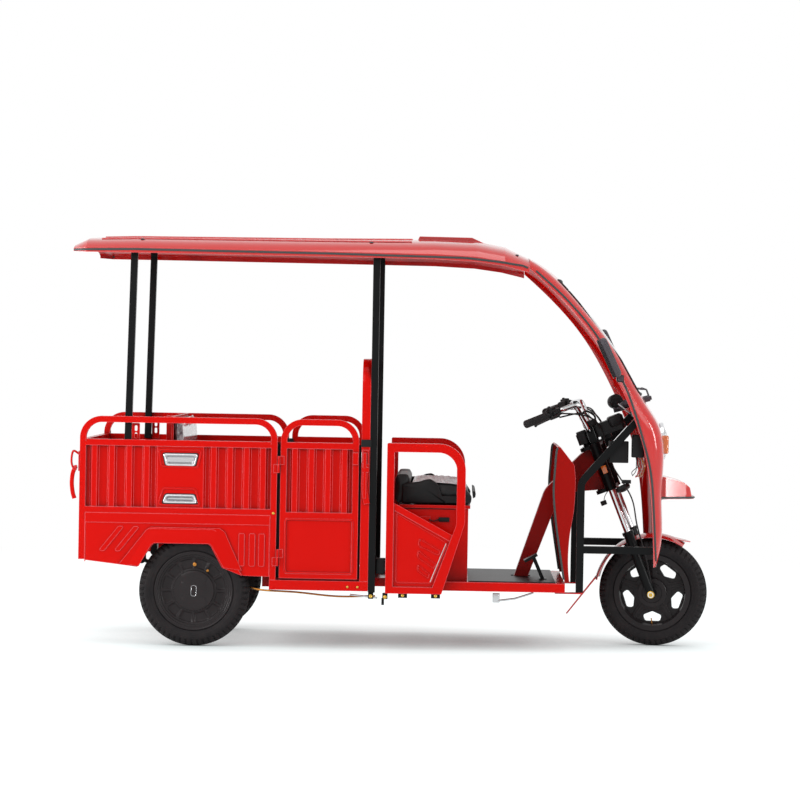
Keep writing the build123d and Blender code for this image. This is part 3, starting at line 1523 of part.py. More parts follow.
def fork_tubes():
    """The bright stanchions, and the wheel axle with its nuts."""
    with BuildPart() as piece:
        for side in (-fork_half, fork_half):
            add(leg_cylinder(stanchion_radius, slider_top, shroud_bottom, side=side))
        wheel_cylinder(front_axle_x, 0, front_axle_radius, 2 * (fork_half + slider_radius + 8))
        for side in (-1, 1):
            wheel_cylinder(front_axle_x, side * (fork_half + slider_radius + seat_gap + 4), 12, 8)
    return piece.part


def fork_yoke():
    """Upper shrouds, the two yoke plates, the stem in the head tube and the bar risers."""
    with BuildPart() as piece:
        for side in (-fork_half, fork_half):
            add(leg_cylinder(shroud_radius, shroud_bottom, yoke_top + 4, side=side))
        for low in (shroud_bottom, yoke_top - yoke_plate):
            add(fork_box(-fork_offset - 28, 20, -fork_half, fork_half, low, low + yoke_plate, corner=20))
        add(leg_cylinder(stem_radius, shroud_bottom, yoke_top + 12, forward=-fork_offset))
        for side_from, side_to in ((riser_inner_y, riser_outer_y), (-riser_outer_y, -riser_inner_y)):
            add(fork_box(-18, 12, side_from, side_to, yoke_top - 2, riser_top))
        with BuildSketch(Plane(fork_point(bar_foot[0], -fork_half, bar_height), z_dir=(0, 1, 0))):
            Circle(bar_radius + seat_gap)
        extrude(amount=2 * fork_half, mode=Mode.SUBTRACT)
    return piece.part


def handlebar():
    """Bright handlebar: up from the clamp, out, and swept back to the grips."""
    half = (bar_end, bar_bend, bar_rise, bar_foot)
    left = [fork_point(*place) for place in half]
    right = [fork_point(forward, -side, up) for forward, side, up in half]
    return round_tube(left + right[::-1], [60, 50, 28, 28, 50, 60], bar_radius)


def grip_plane(side):
    """A plane across one grip, at the bar's end, looking along the bar towards the middle."""
    forward, across, up = bar_end
    end = fork_point(forward, side * across, up)
    forward, across, up = bar_bend
    return Plane(end, z_dir=fork_point(forward, side * across, up) - end)


def grips():
    with BuildPart() as piece:
        for side in (-1, 1):
            end = grip_plane(side)
            with BuildSketch(end.offset(-4)):
                Circle(grip_radius)
            extrude(amount=grip_length + 4)
            with BuildSketch(end.offset(-seat_gap)):
                Circle(bar_radius + seat_gap)
            extrude(amount=grip_length + 1, mode=Mode.SUBTRACT)
    return piece.part


def controls():
    """Switch housings inboard of the grips, the instrument on the bar and the lock cover."""
    with BuildPart() as piece:
        for side in (-1, 1):
            start = grip_plane(side).offset(grip_length + 2)
            with BuildSketch(start):
                RectangleRounded(46, 40, 8)
            extrude(amount=42)
            with BuildSketch(start.offset(-1)):
                Circle(bar_radius + seat_gap)
            extrude(amount=44, mode=Mode.SUBTRACT)
        add(fork_box(dash_rear, dash_front, -dash_half, dash_half, dash_low, dash_high, corner=10))
        add(fork_box(-14, dash_front - 70, -12, 12, yoke_top + seat_gap, yoke_top + 6))
        add(fork_box(dash_rear + 10, dash_front - 70, -12, 12, yoke_top + 5, dash_low + 1))
        add(fork_box(-70, -24, -36, 36, yoke_top + 12 + seat_gap, yoke_top + 60, corner=12))
    return piece.part


def mudguard_beak():
    """Narrow beak that runs on from the mudguard's crown, flatter than the crown."""
    tip_x, tip_z = mudguard_tip
    with BuildPart() as piece:
        with BuildSketch(Plane.XZ):
            add(outline((1208, 471, 0), (tip_x, tip_z, 0), (tip_x - 2, tip_z - 3, 0), (1212, 467, 0)))
        extrude(amount=40, both=True)
        with BuildSketch(Plane.XY):
            add(outline(
                (1200, -30, 0), (1258, -24, 30), (tip_x, -5, 4), (tip_x, 5, 4), (1258, 24, 30), (1200, 30, 0),
            ))
        extrude(amount=1000, mode=Mode.INTERSECT)
    return piece.part


def front_mudguard():
    """Crowned mudguard close over the front tyre, between the fork legs, with the flap behind."""
    crown, edge = mudguard_radius, mudguard_radius - 12
    wall = mudguard_wall
    half = mudguard_half
    with BuildPart() as piece:
        with BuildSketch(wheel_section(front_axle_x, 0, mudguard_start)):
            with BuildLine():
                ThreePointArc((-half, edge), (0, crown), (half, edge))
                Line((half, edge), (half - wall, edge - wall))
                ThreePointArc((half - wall, edge - wall), (0, crown - wall), (-half + wall, edge - wall))
                Line((-half + wall, edge - wall), (-half, edge))
            make_face()
        revolve(axis=wheel_axis(front_axle_x, 0), revolution_arc=mudguard_sweep)
        add(mudguard_beak())
        with BuildSketch(side_plane(half)):
            add(outline((880, 290, 0), (874, 296, 0), (752, 135, 0), (757, 131, 0)))
        extrude(amount=-2 * half)
    return piece.part


def turned(shape):
    """The steering group stands turned by its rest angle about the head tube."""
    return shape.rotate(steer_axis, steer_rest)


export(turned(tyre(front_axle_x, 0)), "front_tyre")
export(turned(front_rim()), "front_rim")
export(turned(fork_sliders()), "fork_sliders")
export(turned(fork_tubes()), "fork_tubes")
export(turned(fork_yoke()), "fork_yoke")
export(turned(handlebar()), "handlebar")
export(turned(grips()), "grips")
export(turned(controls()), "controls")
export(turned(front_mudguard()), "front_mudguard")
export(door_mirror(-1, mirror_right), "mirror_right")
export(door_mirror(1, mirror_left), "mirror_left")
export(wiper(), "wiper")
export_pair(tyre(rear_axle_x, -rear_wheel_y), "rear_tyre")
export_pair(rear_rim(-rear_wheel_y), "rear_rim")
export(rear_axle(), "rear_axle")
export(both_sides(leaf_spring()), "leaf_springs")
export(main_frame(), "main_frame")
export_pair(side_panel(), "side_panel")
export(both_sides(grip_bowls()), "grip_bowls")
export(both_sides(skirt()), "arch_skirts")
export_pair(door(), "door")
export(tailgate(), "tailgate")
export(rear_panel(), "rear_panel")
export(load_floor(), "load_floor")
export(headboard(), "headboard")
export(roof_shell(), "roof_shell")
export(roof_frame(), "roof_frame")
export(roof_posts(), "roof_posts")
export(both_sides(post_bracket()), "post_brackets")
export(front_shell(), "front_shell")
export(windscreen(), "windscreen")
export(headlamp(), "headlamp")
export(both_sides(turn_lamp()), "turn_lamps")
export(both_sides(tail_lamp()), "tail_lamps")
export(down_tube(), "down_tube")
export(deck(), "deck")
export(deck_mat(), "deck_mat")
export(seat_base(), "seat_base")
export(battery_pack(), "battery_pack")
export(driver_cushion(), "driver_cushion")
export(driver_roll(), "driver_roll")
export_pair(guard(), "guard")
export(leg_shield(), "leg_shield")
subframe = front_subframe()
export(split(subframe, bisect_by=subframe_joint_plane(), keep=Keep.BOTTOM), "front_subframe")
export(split(subframe, bisect_by=subframe_joint_plane().offset(seat_gap), keep=Keep.TOP), "nose_stays")
export(brake_pedal(), "brake_pedal")
export(bench_frame(), "bench_frame")
export(bench_back(), "bench_back")
export(bench_cushion(), "bench_cushion")
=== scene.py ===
"""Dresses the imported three-wheeled motorcycle: finishes, tyres, pads, trims, fasteners, wires and the stage."""

import bmesh
import bpy
import numpy as np
from mathutils import Matrix, Vector
from mathutils.bvhtree import BVHTree


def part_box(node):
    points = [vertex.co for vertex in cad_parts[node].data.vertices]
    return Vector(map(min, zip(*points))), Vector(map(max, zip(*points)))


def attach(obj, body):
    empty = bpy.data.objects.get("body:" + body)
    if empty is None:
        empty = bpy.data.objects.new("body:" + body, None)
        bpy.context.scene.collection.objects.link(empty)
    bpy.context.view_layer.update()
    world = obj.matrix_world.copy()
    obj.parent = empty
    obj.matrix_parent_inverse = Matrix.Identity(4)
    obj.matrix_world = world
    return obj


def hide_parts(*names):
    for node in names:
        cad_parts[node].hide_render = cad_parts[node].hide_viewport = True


bl_info = {
    "name": "Three-wheeled motorcycle",
    "version": (1, 0, 0),
    "blender": (4, 5, 0),
    "location": "View3D > Sidebar > Tricycle",
    "description": "Makes the visible pieces of a canopied three-wheeled motorcycle around its frame",
    "category": "Object",
}

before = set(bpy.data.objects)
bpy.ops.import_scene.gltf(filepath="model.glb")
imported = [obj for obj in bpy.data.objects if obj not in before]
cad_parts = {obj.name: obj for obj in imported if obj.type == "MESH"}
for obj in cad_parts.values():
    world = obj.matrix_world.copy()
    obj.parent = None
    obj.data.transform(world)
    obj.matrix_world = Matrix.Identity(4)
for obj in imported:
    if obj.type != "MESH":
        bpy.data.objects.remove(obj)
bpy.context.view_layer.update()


# ================================================================ numbers and nodes
def colour(text, alpha=1.0):
    """An sRGB hex colour as linear RGBA."""
    channels = np.array([int(text[i:i + 2], 16) for i in (1, 3, 5)]) / 255
    linear = np.where(channels <= 0.04045, channels / 12.92, ((channels + 0.055) / 1.055) ** 2.4)
    return (*linear.tolist(), alpha)


def feed(node, inputs):
    """Gives a node's sockets their values, or joins them to other nodes' outputs."""
    for key, value in inputs.items():
        if isinstance(value, bpy.types.NodeSocket):
            node.id_data.links.new(value, node.inputs[key])
        else:
            node.inputs[key].default_value = value


def add_node(tree, kind, inputs=None, **settings):
    """One node with its settings; inputs maps sockets to values or to other nodes' outputs."""
    made = tree.nodes.new(kind)
    for name, value in settings.items():
        setattr(made, name, value)
    feed(made, inputs or {})
    return made


def new_material(name):
    """An empty node material: its tree and its Principled shader, joined to the output."""
    material = bpy.data.materials.new(name)
    material.use_nodes = True
    tree = material.node_tree
    tree.nodes.clear()
    shader = add_node(tree, "ShaderNodeBsdfPrincipled")
    add_node(tree, "ShaderNodeOutputMaterial", {"Surface": shader.outputs["BSDF"]})
    return material, tree, shader


def put(name, data):
    """An object with this data, in the scene."""
    made = bpy.data.objects.new(name, data)
    bpy.context.scene.collection.objects.link(made)
    return made


def set_shader(shader, **values):
    """Feeds the shader's own sockets; an underscore in a name stands for a space."""
    feed(shader, {name.replace("_", " "): value for name, value in values.items()})


# ================================================================ materials
def enamel(name, base, worn, wave_mm=240.0, roughness=0.22, shine=0.12, coat=0.0):
    """Gloss enamel on pressed steel: a clear colour whose reflections waver with the sheet, with a painted
    highlight on its edges and painted shade in its crevices.
    """
    material, tree, shader = new_material(name)
    place = add_node(tree, "ShaderNodeTexCoord").outputs["Object"]
    cloud = add_node(tree, "ShaderNodeTexNoise", {"Vector": place, "Scale": 1000 / wave_mm, "Detail": 2.0})
    tone = add_node(tree, "ShaderNodeMix", {"Factor": cloud.outputs["Fac"], 6: base, 7: colour(worn)},
                    data_type="RGBA")
    # Orange peel is about 1 mm across; it is drawn at 6 mm so that it shows.
    peel = add_node(tree, "ShaderNodeTexNoise", {"Vector": place, "Scale": 1000 / 6.0, "Detail": 1.0})
    waver = add_node(tree, "ShaderNodeBump", {"Height": cloud.outputs["Fac"], "Strength": 0.25, "Distance": 0.004})
    bump = add_node(tree, "ShaderNodeBump", {"Height": peel.outputs["Fac"], "Strength": 0.05, "Distance": 0.0005,
                                             "Normal": waver.outputs["Normal"]})
    # Painted highlight: a pale pink is mixed into the colour on the edges that the Bevel node finds.
    fold = add_node(tree, "ShaderNodeBevel", {"Radius": 0.004}, samples=4)
    true = add_node(tree, "ShaderNodeNewGeometry")
    same = add_node(tree, "ShaderNodeVectorMath", {0: fold.outputs["Normal"], 1: true.outputs["Normal"]},
                    operation="DOT_PRODUCT")
    edge = add_node(tree, "ShaderNodeMapRange",
                    {"Value": same.outputs["Value"], "From Min": 0.99, "From Max": 0.82, "To Max": 0.75})
    # Painted shade: a dark red is mixed into the colour where ambient occlusion finds other surfaces near, in
    # creases, recesses and under parts.
    open_sky = add_node(tree, "ShaderNodeAmbientOcclusion", {"Distance": 0.12}, samples=4)
    painted_shade_mask = add_node(tree, "ShaderNodeMapRange",
                      {"Value": open_sky.outputs["AO"], "From Min": 0.9, "From Max": 0.35, "To Max": 0.9})
    shaded = add_node(tree, "ShaderNodeMix",
                      {"Factor": painted_shade_mask.outputs["Result"], 6: tone.outputs[2], 7: colour("#6A0803")},
                      data_type="RGBA")
    painted_edge_highlight = add_node(tree, "ShaderNodeMix", {"Factor": edge.outputs["Result"], 6: shaded.outputs[2],
                                                 7: colour("#FF8086")}, data_type="RGBA")
    set_shader(shader, Base_Color=painted_edge_highlight.outputs[2], Normal=bump.outputs["Normal"],
               Roughness=roughness, IOR=1.5, Specular_IOR_Level=shine, Coat_Weight=coat,
               Coat_Roughness=0.05)
    return material


def moulded(name, base, pale, grain_mm=1.6, roughness=0.5, depth=0.0004, sheen=0.0, shine=0.2):
    """Moulded plastic: spark-eroded grain that breaks the highlights, with slightly paler patches."""
    material, tree, shader = new_material(name)
    place = add_node(tree, "ShaderNodeTexCoord").outputs["Object"]
    grain = add_node(tree, "ShaderNodeTexVoronoi", {"Vector": place, "Scale": 1000 / grain_mm})
    cloud = add_node(tree, "ShaderNodeTexNoise", {"Vector": place, "Scale": 14.0, "Detail": 3.0})
    tone = add_node(tree, "ShaderNodeMix", {"Factor": cloud.outputs["Fac"], 6: colour(base), 7: colour(pale)},
                    data_type="RGBA")
    bump = add_node(tree, "ShaderNodeBump",
                    {"Height": grain.outputs["Distance"], "Strength": 0.3, "Distance": depth})
    set_shader(shader, Base_Color=tone.outputs[2], Normal=bump.outputs["Normal"],
               Roughness=roughness, IOR=1.49, Sheen_Weight=sheen, Specular_IOR_Level=shine)
    return material


def powder_coat(name, base, pale, roughness=0.32):
    """Black powder coat on tube: satin, with the fine pebble of cured powder."""
    material, tree, shader = new_material(name)
    place = add_node(tree, "ShaderNodeTexCoord").outputs["Object"]
    # Powder texture is under 1 mm; it is drawn at 3 mm so that it shows.
    pebble = add_node(tree, "ShaderNodeTexNoise", {"Vector": place, "Scale": 1000 / 3.0, "Detail": 2.0})
    cloud = add_node(tree, "ShaderNodeTexNoise", {"Vector": place, "Scale": 9.0, "Detail": 2.0})
    tone = add_node(tree, "ShaderNodeMix", {"Factor": cloud.outputs["Fac"], 6: colour(base), 7: colour(pale)},
                    data_type="RGBA")
    bump = add_node(tree, "ShaderNodeBump", {"Height": pebble.outputs["Fac"], "Strength": 0.1, "Distance": 0.0005})
    set_shader(shader, Base_Color=tone.outputs[2], Normal=bump.outputs["Normal"],
               Roughness=roughness, IOR=1.5, Specular_IOR_Level=0.12)
    return material


def tyre_compound(name):
    """Vulcanised tyre rubber: brown-black, matt, with mould marks and a dusty bloom."""
    material, tree, shader = new_material(name)
    place = add_node(tree, "ShaderNodeTexCoord").outputs["Object"]
    bloom = add_node(tree, "ShaderNodeTexNoise",
                     {"Vector": place, "Scale": 24.0, "Detail": 5.0, "Roughness": 0.65})
    tone = add_node(tree, "ShaderNodeValToRGB", {"Fac": bloom.outputs["Fac"]})
    low, high = tone.color_ramp.elements
    low.position, low.color = 0.35, colour("#1D1B1D")
    high.position, high.color = 0.75, colour("#2B2727")
    rough = add_node(tree, "ShaderNodeTexNoise", {"Vector": place, "Scale": 1000 / 2.5, "Detail": 2.0})
    bump = add_node(tree, "ShaderNodeBump", {"Height": rough.outputs["Fac"], "Strength": 0.25, "Distance": 0.0006})
    set_shader(shader, Base_Color=tone.outputs["Color"], Normal=bump.outputs["Normal"],
               Roughness=0.62, IOR=1.52, Specular_IOR_Level=0.15)
    return material


def bright_metal(name, base, roughness, brushed_mm=None, metallic=1.0):
    """Plated, zinc-passivated or brushed metal; brushing is fine lines along X."""
    material, tree, shader = new_material(name)
    place = add_node(tree, "ShaderNodeTexCoord").outputs["Object"]
    stretch = (1000 / (brushed_mm or 12.0),) * 3
    if brushed_mm:
        stretch = (20.0, 1000 / brushed_mm, 1000 / brushed_mm)
    mapping = add_node(tree, "ShaderNodeMapping", {"Vector": place, "Scale": stretch})
    lines = add_node(tree, "ShaderNodeTexNoise",
                     {"Vector": mapping.outputs["Vector"], "Scale": 1.0, "Detail": 3.0})
    matt = add_node(tree, "ShaderNodeMapRange", {"Value": lines.outputs["Fac"], "To Min": roughness * 0.7,
                                                 "To Max": roughness * 1.4})
    bump = add_node(tree, "ShaderNodeBump", {"Height": lines.outputs["Fac"], "Strength": 0.12, "Distance": 0.0004})
    set_shader(shader, Base_Color=colour(base), Metallic=metallic, Roughness=matt.outputs["Result"],
               Normal=bump.outputs["Normal"])
    return material


def leatherette(name, base, pale):
    """Black PVC leathercloth: pebbled grain about 2 mm across, soft sheen, paler on the crowns."""
    material, tree, shader = new_material(name)
    place = add_node(tree, "ShaderNodeTexCoord").outputs["Object"]
    # The grain's cells are 1.5 mm; they are drawn at 4 mm so that they show.
    cells = add_node(tree, "ShaderNodeTexVoronoi", {"Vector": place, "Scale": 1000 / 4.0},
                     feature="DISTANCE_TO_EDGE")
    folds = add_node(tree, "ShaderNodeTexNoise", {"Vector": place, "Scale": 26.0, "Detail": 4.0})
    tone = add_node(tree, "ShaderNodeMix", {"Factor": folds.outputs["Fac"], 6: colour(base), 7: colour(pale)},
                    data_type="RGBA")
    crease = add_node(tree, "ShaderNodeBump",
                      {"Height": folds.outputs["Fac"], "Strength": 0.35, "Distance": 0.004})
    bump = add_node(tree, "ShaderNodeBump",
                    {"Height": cells.outputs["Distance"], "Strength": 0.4, "Distance": 0.0006,
                     "Normal": crease.outputs["Normal"]})
    set_shader(shader, Base_Color=tone.outputs[2], Normal=bump.outputs["Normal"],
               Roughness=0.42, IOR=1.5, Specular_IOR_Level=0.25)
    return material


def stretch_film(name, base, dark, roughness=0.2):
    """A pad in clear wrapping film: pale, with hard crumpled highlights and darker pleats."""
    material, tree, shader = new_material(name)
    place = add_node(tree, "ShaderNodeTexCoord").outputs["Object"]
    pleats = add_node(tree, "ShaderNodeTexNoise",
                      {"Vector": place, "Scale": 17.0, "Detail": 6.0, "Roughness": 0.62, "Distortion": 1.6})
    tone = add_node(tree, "ShaderNodeValToRGB", {"Fac": pleats.outputs["Fac"]})
    low, high = tone.color_ramp.elements
    low.position, low.color = 0.38, colour(dark)
    high.position, high.color = 0.6, colour(base)
    bump = add_node(tree, "ShaderNodeBump", {"Height": pleats.outputs["Fac"], "Strength": 0.8, "Distance": 0.02})
    set_shader(shader, Base_Color=tone.outputs["Color"], Normal=bump.outputs["Normal"],
               Roughness=roughness, IOR=1.45, Coat_Weight=0.8, Coat_Roughness=0.08)
    return material


def clear_sheet(name, tint, roughness=0.02):
    """Clear acrylic sheet: it lets the view through almost unchanged and mirrors at a shallow angle."""
    material, tree, shader = new_material(name)
    tree.nodes.remove(shader)
    output = tree.nodes[0]
    edge = add_node(tree, "ShaderNodeFresnel", {"IOR": 1.35})
    through = add_node(tree, "ShaderNodeBsdfTransparent", {"Color": colour(tint)})
    gloss = add_node(tree, "ShaderNodeBsdfGlossy", {"Color": colour("#FFFFFF"), "Roughness": roughness})
    mix = add_node(tree, "ShaderNodeMixShader",
                   {0: edge.outputs["Fac"], 1: through.outputs[0], 2: gloss.outputs[0]})
    tree.links.new(mix.outputs[0], output.inputs["Surface"])
    return material


def lens(name, base, clear=0.5, rib_mm=4.0):
    """Moulded lamp lens: clear or tinted polycarbonate with fine upright flutes inside."""
    material, tree, shader = new_material(name)
    mapping = add_node(tree, "ShaderNodeMapping",
                       {"Vector": add_node(tree, "ShaderNodeTexCoord").outputs["Object"],
                        "Scale": (1000 / rib_mm,) * 3})
    flutes = add_node(tree, "ShaderNodeTexWave",
                      {"Vector": mapping.outputs["Vector"], "Scale": 0.3, "Distortion": 0.0},
                      bands_direction="Y")
    bump = add_node(tree, "ShaderNodeBump", {"Height": flutes.outputs["Fac"], "Strength": 0.3, "Distance": 0.001})
    set_shader(shader, Base_Color=colour(base), Roughness=0.08, IOR=1.58, Transmission_Weight=clear,
               Coat_Weight=0.6, Coat_Roughness=0.03, Normal=bump.outputs["Normal"])
    return material


MATERIALS = {}


def make_materials(finishes):
    """Every finish on the vehicle, by its maker's name."""
    MATERIALS.update({"red_enamel": enamel("red_enamel_on_steel", (*finishes.red, 1.0), "#DA0A02"),
                      "red_abs": enamel("red_gloss_abs", (*finishes.shell_red, 1.0), "#D80804", wave_mm=320.0,
                                        roughness=0.16, shine=0.5, coat=0.5),
                      # Painted shade: a darker red for the leg shield and the down tube, which stand in shade
                      # under the roof and the nose.
                      "red_painted_shade": enamel("red_satin_painted_shade", colour("#A80C05"), "#9C0A04", wave_mm=320.0,
                                           roughness=0.3),
                      "black_coat": powder_coat("black_powder_coat", "#0B0C0D", "#121314"),
                      "black_rim": powder_coat("black_rim_enamel", "#2A2728", "#332F30", roughness=0.25),
                      "black_abs": moulded("black_moulded_abs", "#141415", "#1E1D1E", roughness=0.42),
                      "grey_abs": moulded("grey_moulded_abs", "#4A474A", "#57535A", roughness=0.4),
                      "black_rubber": moulded("black_moulded_rubber", "#1B191A", "#262324", roughness=0.6,
                                              sheen=0.1),
                      "grey_edging": moulded("grey_pvc_edging", "#3F4646", "#4A5252", roughness=0.35),
                      "tyre": tyre_compound("tyre_compound"),
                      "chrome": bright_metal("chrome_plate", "#D9D9DB", 0.07),
                      "steel": bright_metal("brushed_stainless", "#C4C4C6", 0.24, brushed_mm=1.2),
                      "zinc": bright_metal("yellow_zinc_passivate", "#C9A24A", 0.3),
                      "copper": bright_metal("brass_valve", "#B77B3A", 0.3),
                      "leatherette": leatherette("black_leathercloth", "#161616", "#262627"),
                      "film": stretch_film("wrapped_grey_pad", "#C9CBCF", "#6E6F74"),
                      "foam": stretch_film("white_foam_wrap", "#D8D5D8", "#A9A3A6", roughness=0.5),
                      "screen": clear_sheet("clear_acrylic_screen", "#F4F6F5"),
                      "clear_lens": lens("clear_polycarbonate_lens", "#EDEFF0", clear=0.6),
                      "amber_lens": lens("amber_polycarbonate_lens", "#F07A12", clear=0.15),
                      "red_lens": lens("red_polycarbonate_lens", "#A00A0A", clear=0.1),
                      "reflector": bright_metal("aluminised_reflector", "#D8DADC", 0.12),
                      "mirror": bright_metal("silvered_mirror", "#E4E6E8", 0.02),
                      "white_print": moulded("white_enamel_line", "#D9D4D2", "#E3DEDC", roughness=0.35)})


# Which finish each CAD node that stays visible gets.
NODE_FINISH = {"red_enamel": ("main_frame", "side_panel_right", "side_panel_left", "arch_skirts", "rear_panel",
                              "load_floor", "headboard", "post_brackets", "deck", "guard_right", "guard_left",
                              "bench_frame", "door_right", "door_left", "tailgate", "seat_base"),
               "red_abs": ("roof_shell", "front_shell", "front_mudguard"),
               # Painted shade: these parts take the darker red.
               "red_painted_shade": ("leg_shield", "down_tube"),
               "black_coat": ("rear_axle", "leaf_springs", "roof_frame", "roof_posts", "front_subframe",
                              "nose_stays", "brake_pedal", "fork_sliders", "fork_yoke"),
               "black_rim": ("front_rim", "rear_rim_right", "rear_rim_left"),
               "black_abs": ("deck_mat", "battery_pack", "controls"),
               "grey_abs": ("mirror_right", "mirror_left", "wiper"), "black_rubber": ("grips",),
               "tyre": ("front_tyre", "rear_tyre_right", "rear_tyre_left"),
               "chrome": ("fork_tubes", "handlebar"), "steel": ("grip_bowls",),
               "leatherette": ("driver_cushion", "driver_roll"), "film": ("bench_back", "bench_cushion"),
               "screen": ("windscreen",), "clear_lens": ("headlamp",), "amber_lens": ("turn_lamps",),
               "red_lens": ("tail_lamps",)}

# Radius of the rounded edges that catch the light, in millimetres.
EDGE_RADIUS = {"side_panel_right": 4.0, "side_panel_left": 4.0, "door_right": 4.0, "door_left": 4.0,
               "tailgate": 4.0, "arch_skirts": 2.0, "headboard": 2.0, "guard_right": 2.0, "guard_left": 2.0,
               "main_frame": 2.0, "roof_posts": 2.0, "front_subframe": 2.0, "nose_stays": 2.0, "seat_base": 1.5}


def paint_nodes():
    for finish, names in NODE_FINISH.items():
        for name in names:
            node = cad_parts[name]
            node.data.materials.clear()
            node.data.materials.append(MATERIALS[finish])
            if name in EDGE_RADIUS:
                weld = node.modifiers.new("weld", "WELD")
                weld.merge_threshold = 0.00002
                bevel = node.modifiers.new("rounded_edges", "BEVEL")
                bevel.width, bevel.segments = EDGE_RADIUS[name] * 0.001, 2
                bevel.limit_method, bevel.angle_limit = "ANGLE", np.radians(28)
                bevel.harden_normals = True


# ================================================================ shapes as arrays
# A shape is a pair: its points in millimetres, one row each, and its faces, four point numbers each.
def join(*shapes):
    """Several shapes as one."""
    points, faces, start = [], [], 0
    for some_points, some_faces in shapes:
        points.append(some_points)
        faces.append(some_faces + start)
        start += len(some_points)
    return np.concatenate(points), np.concatenate(faces)


def grid(surface, wrap_rows=False, wrap_columns=False):
    """A (rows, columns, 3) array of points as a shape of quads, joined at the ends where it wraps."""
    rows, columns = surface.shape[:2]
    row, column = np.meshgrid(np.arange(rows if wrap_rows else rows - 1),
                              np.arange(columns if wrap_columns else columns - 1), indexing="ij")
    next_row, next_column = (row + 1) % rows, (column + 1) % columns
    faces = np.stack([row * columns + column, next_row * columns + column, next_row * columns + next_column,
                      row * columns + next_column], -1)
    return surface.reshape(-1, 3), faces.reshape(-1, 4)


def capped(surface):
    """A tube of rings with each end closed at the ring's middle."""
    ends = [np.broadcast_to(surface[i].mean(0), surface[i].shape)[None] for i in (0, -1)]
    return grid(np.concatenate([ends[0], surface, ends[1]]), wrap_columns=True)


def circle(count, start=0.0):
    """Cosine and sine of evenly spaced angles."""
    angles = start + np.linspace(0, 2 * np.pi, count, endpoint=False)
    return np.cos(angles), np.sin(angles)


def unit(vectors):
    vectors = np.asarray(vectors, float)
    return vectors / np.linalg.norm(vectors, axis=-1, keepdims=True)


def sweep(path, profile, side, closed=False, ends=True):
    """A closed profile of (across, up) points carried along a path; across is square to the path and to side."""
    path = np.asarray(path, float)
    if closed:
        tangent = np.roll(path, -1, 0) - np.roll(path, 1, 0)
    else:
        tangent = np.gradient(path, axis=0)
    tangent = unit(tangent)
    across = unit(np.cross(tangent, np.asarray(side, float)))
    up = np.cross(across, tangent)
    profile = np.asarray(profile, float)
    rings = (path[:, None] + profile[None, :, :1] * across[:, None] + profile[None, :, 1:] * up[:, None])
    if closed:
        return grid(rings, wrap_rows=True, wrap_columns=True)
    return capped(rings) if ends else grid(rings, wrap_columns=True)


def bar(path, radius, sides=12, side=(0, 0, 1), closed=False):
    """A round bar along a path."""
    across, up = circle(sides)
    return sweep(path, np.stack([across, up], 1) * radius, side, closed)


def curve(points, count=60, closed=False):
    """Points evenly spread along a smooth curve through the given points: piecewise cubic, Catmull's way."""
    points = np.asarray(points, float)
    if closed:
        padded = np.concatenate([points[-1:], points, points[:2]])
    else:
        padded = np.concatenate([2 * points[:1] - points[1:2], points, 2 * points[-1:] - points[-2:-1]])
    spans = len(padded) - 3
    place = np.linspace(0, spans, count, endpoint=not closed)
    span = np.minimum(place.astype(int), spans - 1)
    t = (place - span)[:, None]
    a, b, c, d = (padded[span + i] for i in range(4))
    return 0.5 * (2 * b + (c - a) * t + (2 * a - 5 * b + 4 * c - d) * t**2 + (3 * b - a - 3 * c + d) * t**3)


def spun(profile, place, axis, count=48, start=0.0):
    """A profile of (radius, along) turned about an axis through place; its ends are closed at the axis."""
    axis = unit(axis)
    spare = np.array((0, 0, 1.0)) if abs(axis[2]) < 0.9 else np.array((1.0, 0, 0))
    first = unit(np.cross(axis, spare))
    second = np.cross(axis, first)
    cosine, sine = circle(count, start)
    profile = np.asarray(profile, float)
    spoke = cosine[None, :, None] * first + sine[None, :, None] * second
    rings = np.asarray(place) + profile[:, :1, None] * spoke + profile[:, 1:, None] * axis
    return grid(rings, wrap_columns=True)


def ring_loop(profile, place, axis, count=96):
    """A closed profile of (radius, along) turned about an axis: a ring."""
    points, _ = spun(profile, place, axis, count)
    return grid(points.reshape(len(profile), count, 3), wrap_rows=True, wrap_columns=True)


def rounded_rectangle(half_x, half_y, radius, steps=5):
    """Points round a rectangle whose corners are quarter circles."""
    radius = min(radius, half_x, half_y)
    turn = np.linspace(0, np.pi / 2, steps)
    corners = []
    for quarter, (sign_x, sign_y) in enumerate(((1, 1), (-1, 1), (-1, -1), (1, -1))):
        angle = turn + quarter * np.pi / 2
        corners.append(np.stack([
            sign_x * (half_x - radius) + radius * np.cos(angle),
            sign_y * (half_y - radius) + radius * np.sin(angle)], 1))
    return np.concatenate(corners)


def slab(place, size, corner, edge, x_axis=(1, 0, 0), z_axis=(0, 0, 1), steps=5, taper=0.0):
    """A block with rounded corners in plan and rounded edges; taper draws its far end in."""
    x_axis, z_axis = unit(x_axis), unit(z_axis)
    y_axis = np.cross(z_axis, x_axis)
    half_x, half_y, half_z = np.asarray(size) / 2
    turn = np.linspace(0, np.pi / 2, 4)
    levels = np.concatenate([-half_z + edge * (1 - np.cos(turn)), half_z - edge * (1 - np.cos(turn[::-1]))])
    insets = np.concatenate([edge * (1 - np.sin(turn)), edge * (1 - np.sin(turn[::-1]))])
    insets = insets + taper * (levels + half_z) / (2 * half_z)
    rings = []
    for level, inset in zip(levels, insets):
        flat = rounded_rectangle(half_x - inset, half_y - inset, max(corner - inset, edge * 0.2), steps)
        rings.append(np.asarray(place) + flat[:, :1] * x_axis + flat[:, 1:] * y_axis + level * z_axis)
    return capped(np.stack(rings))


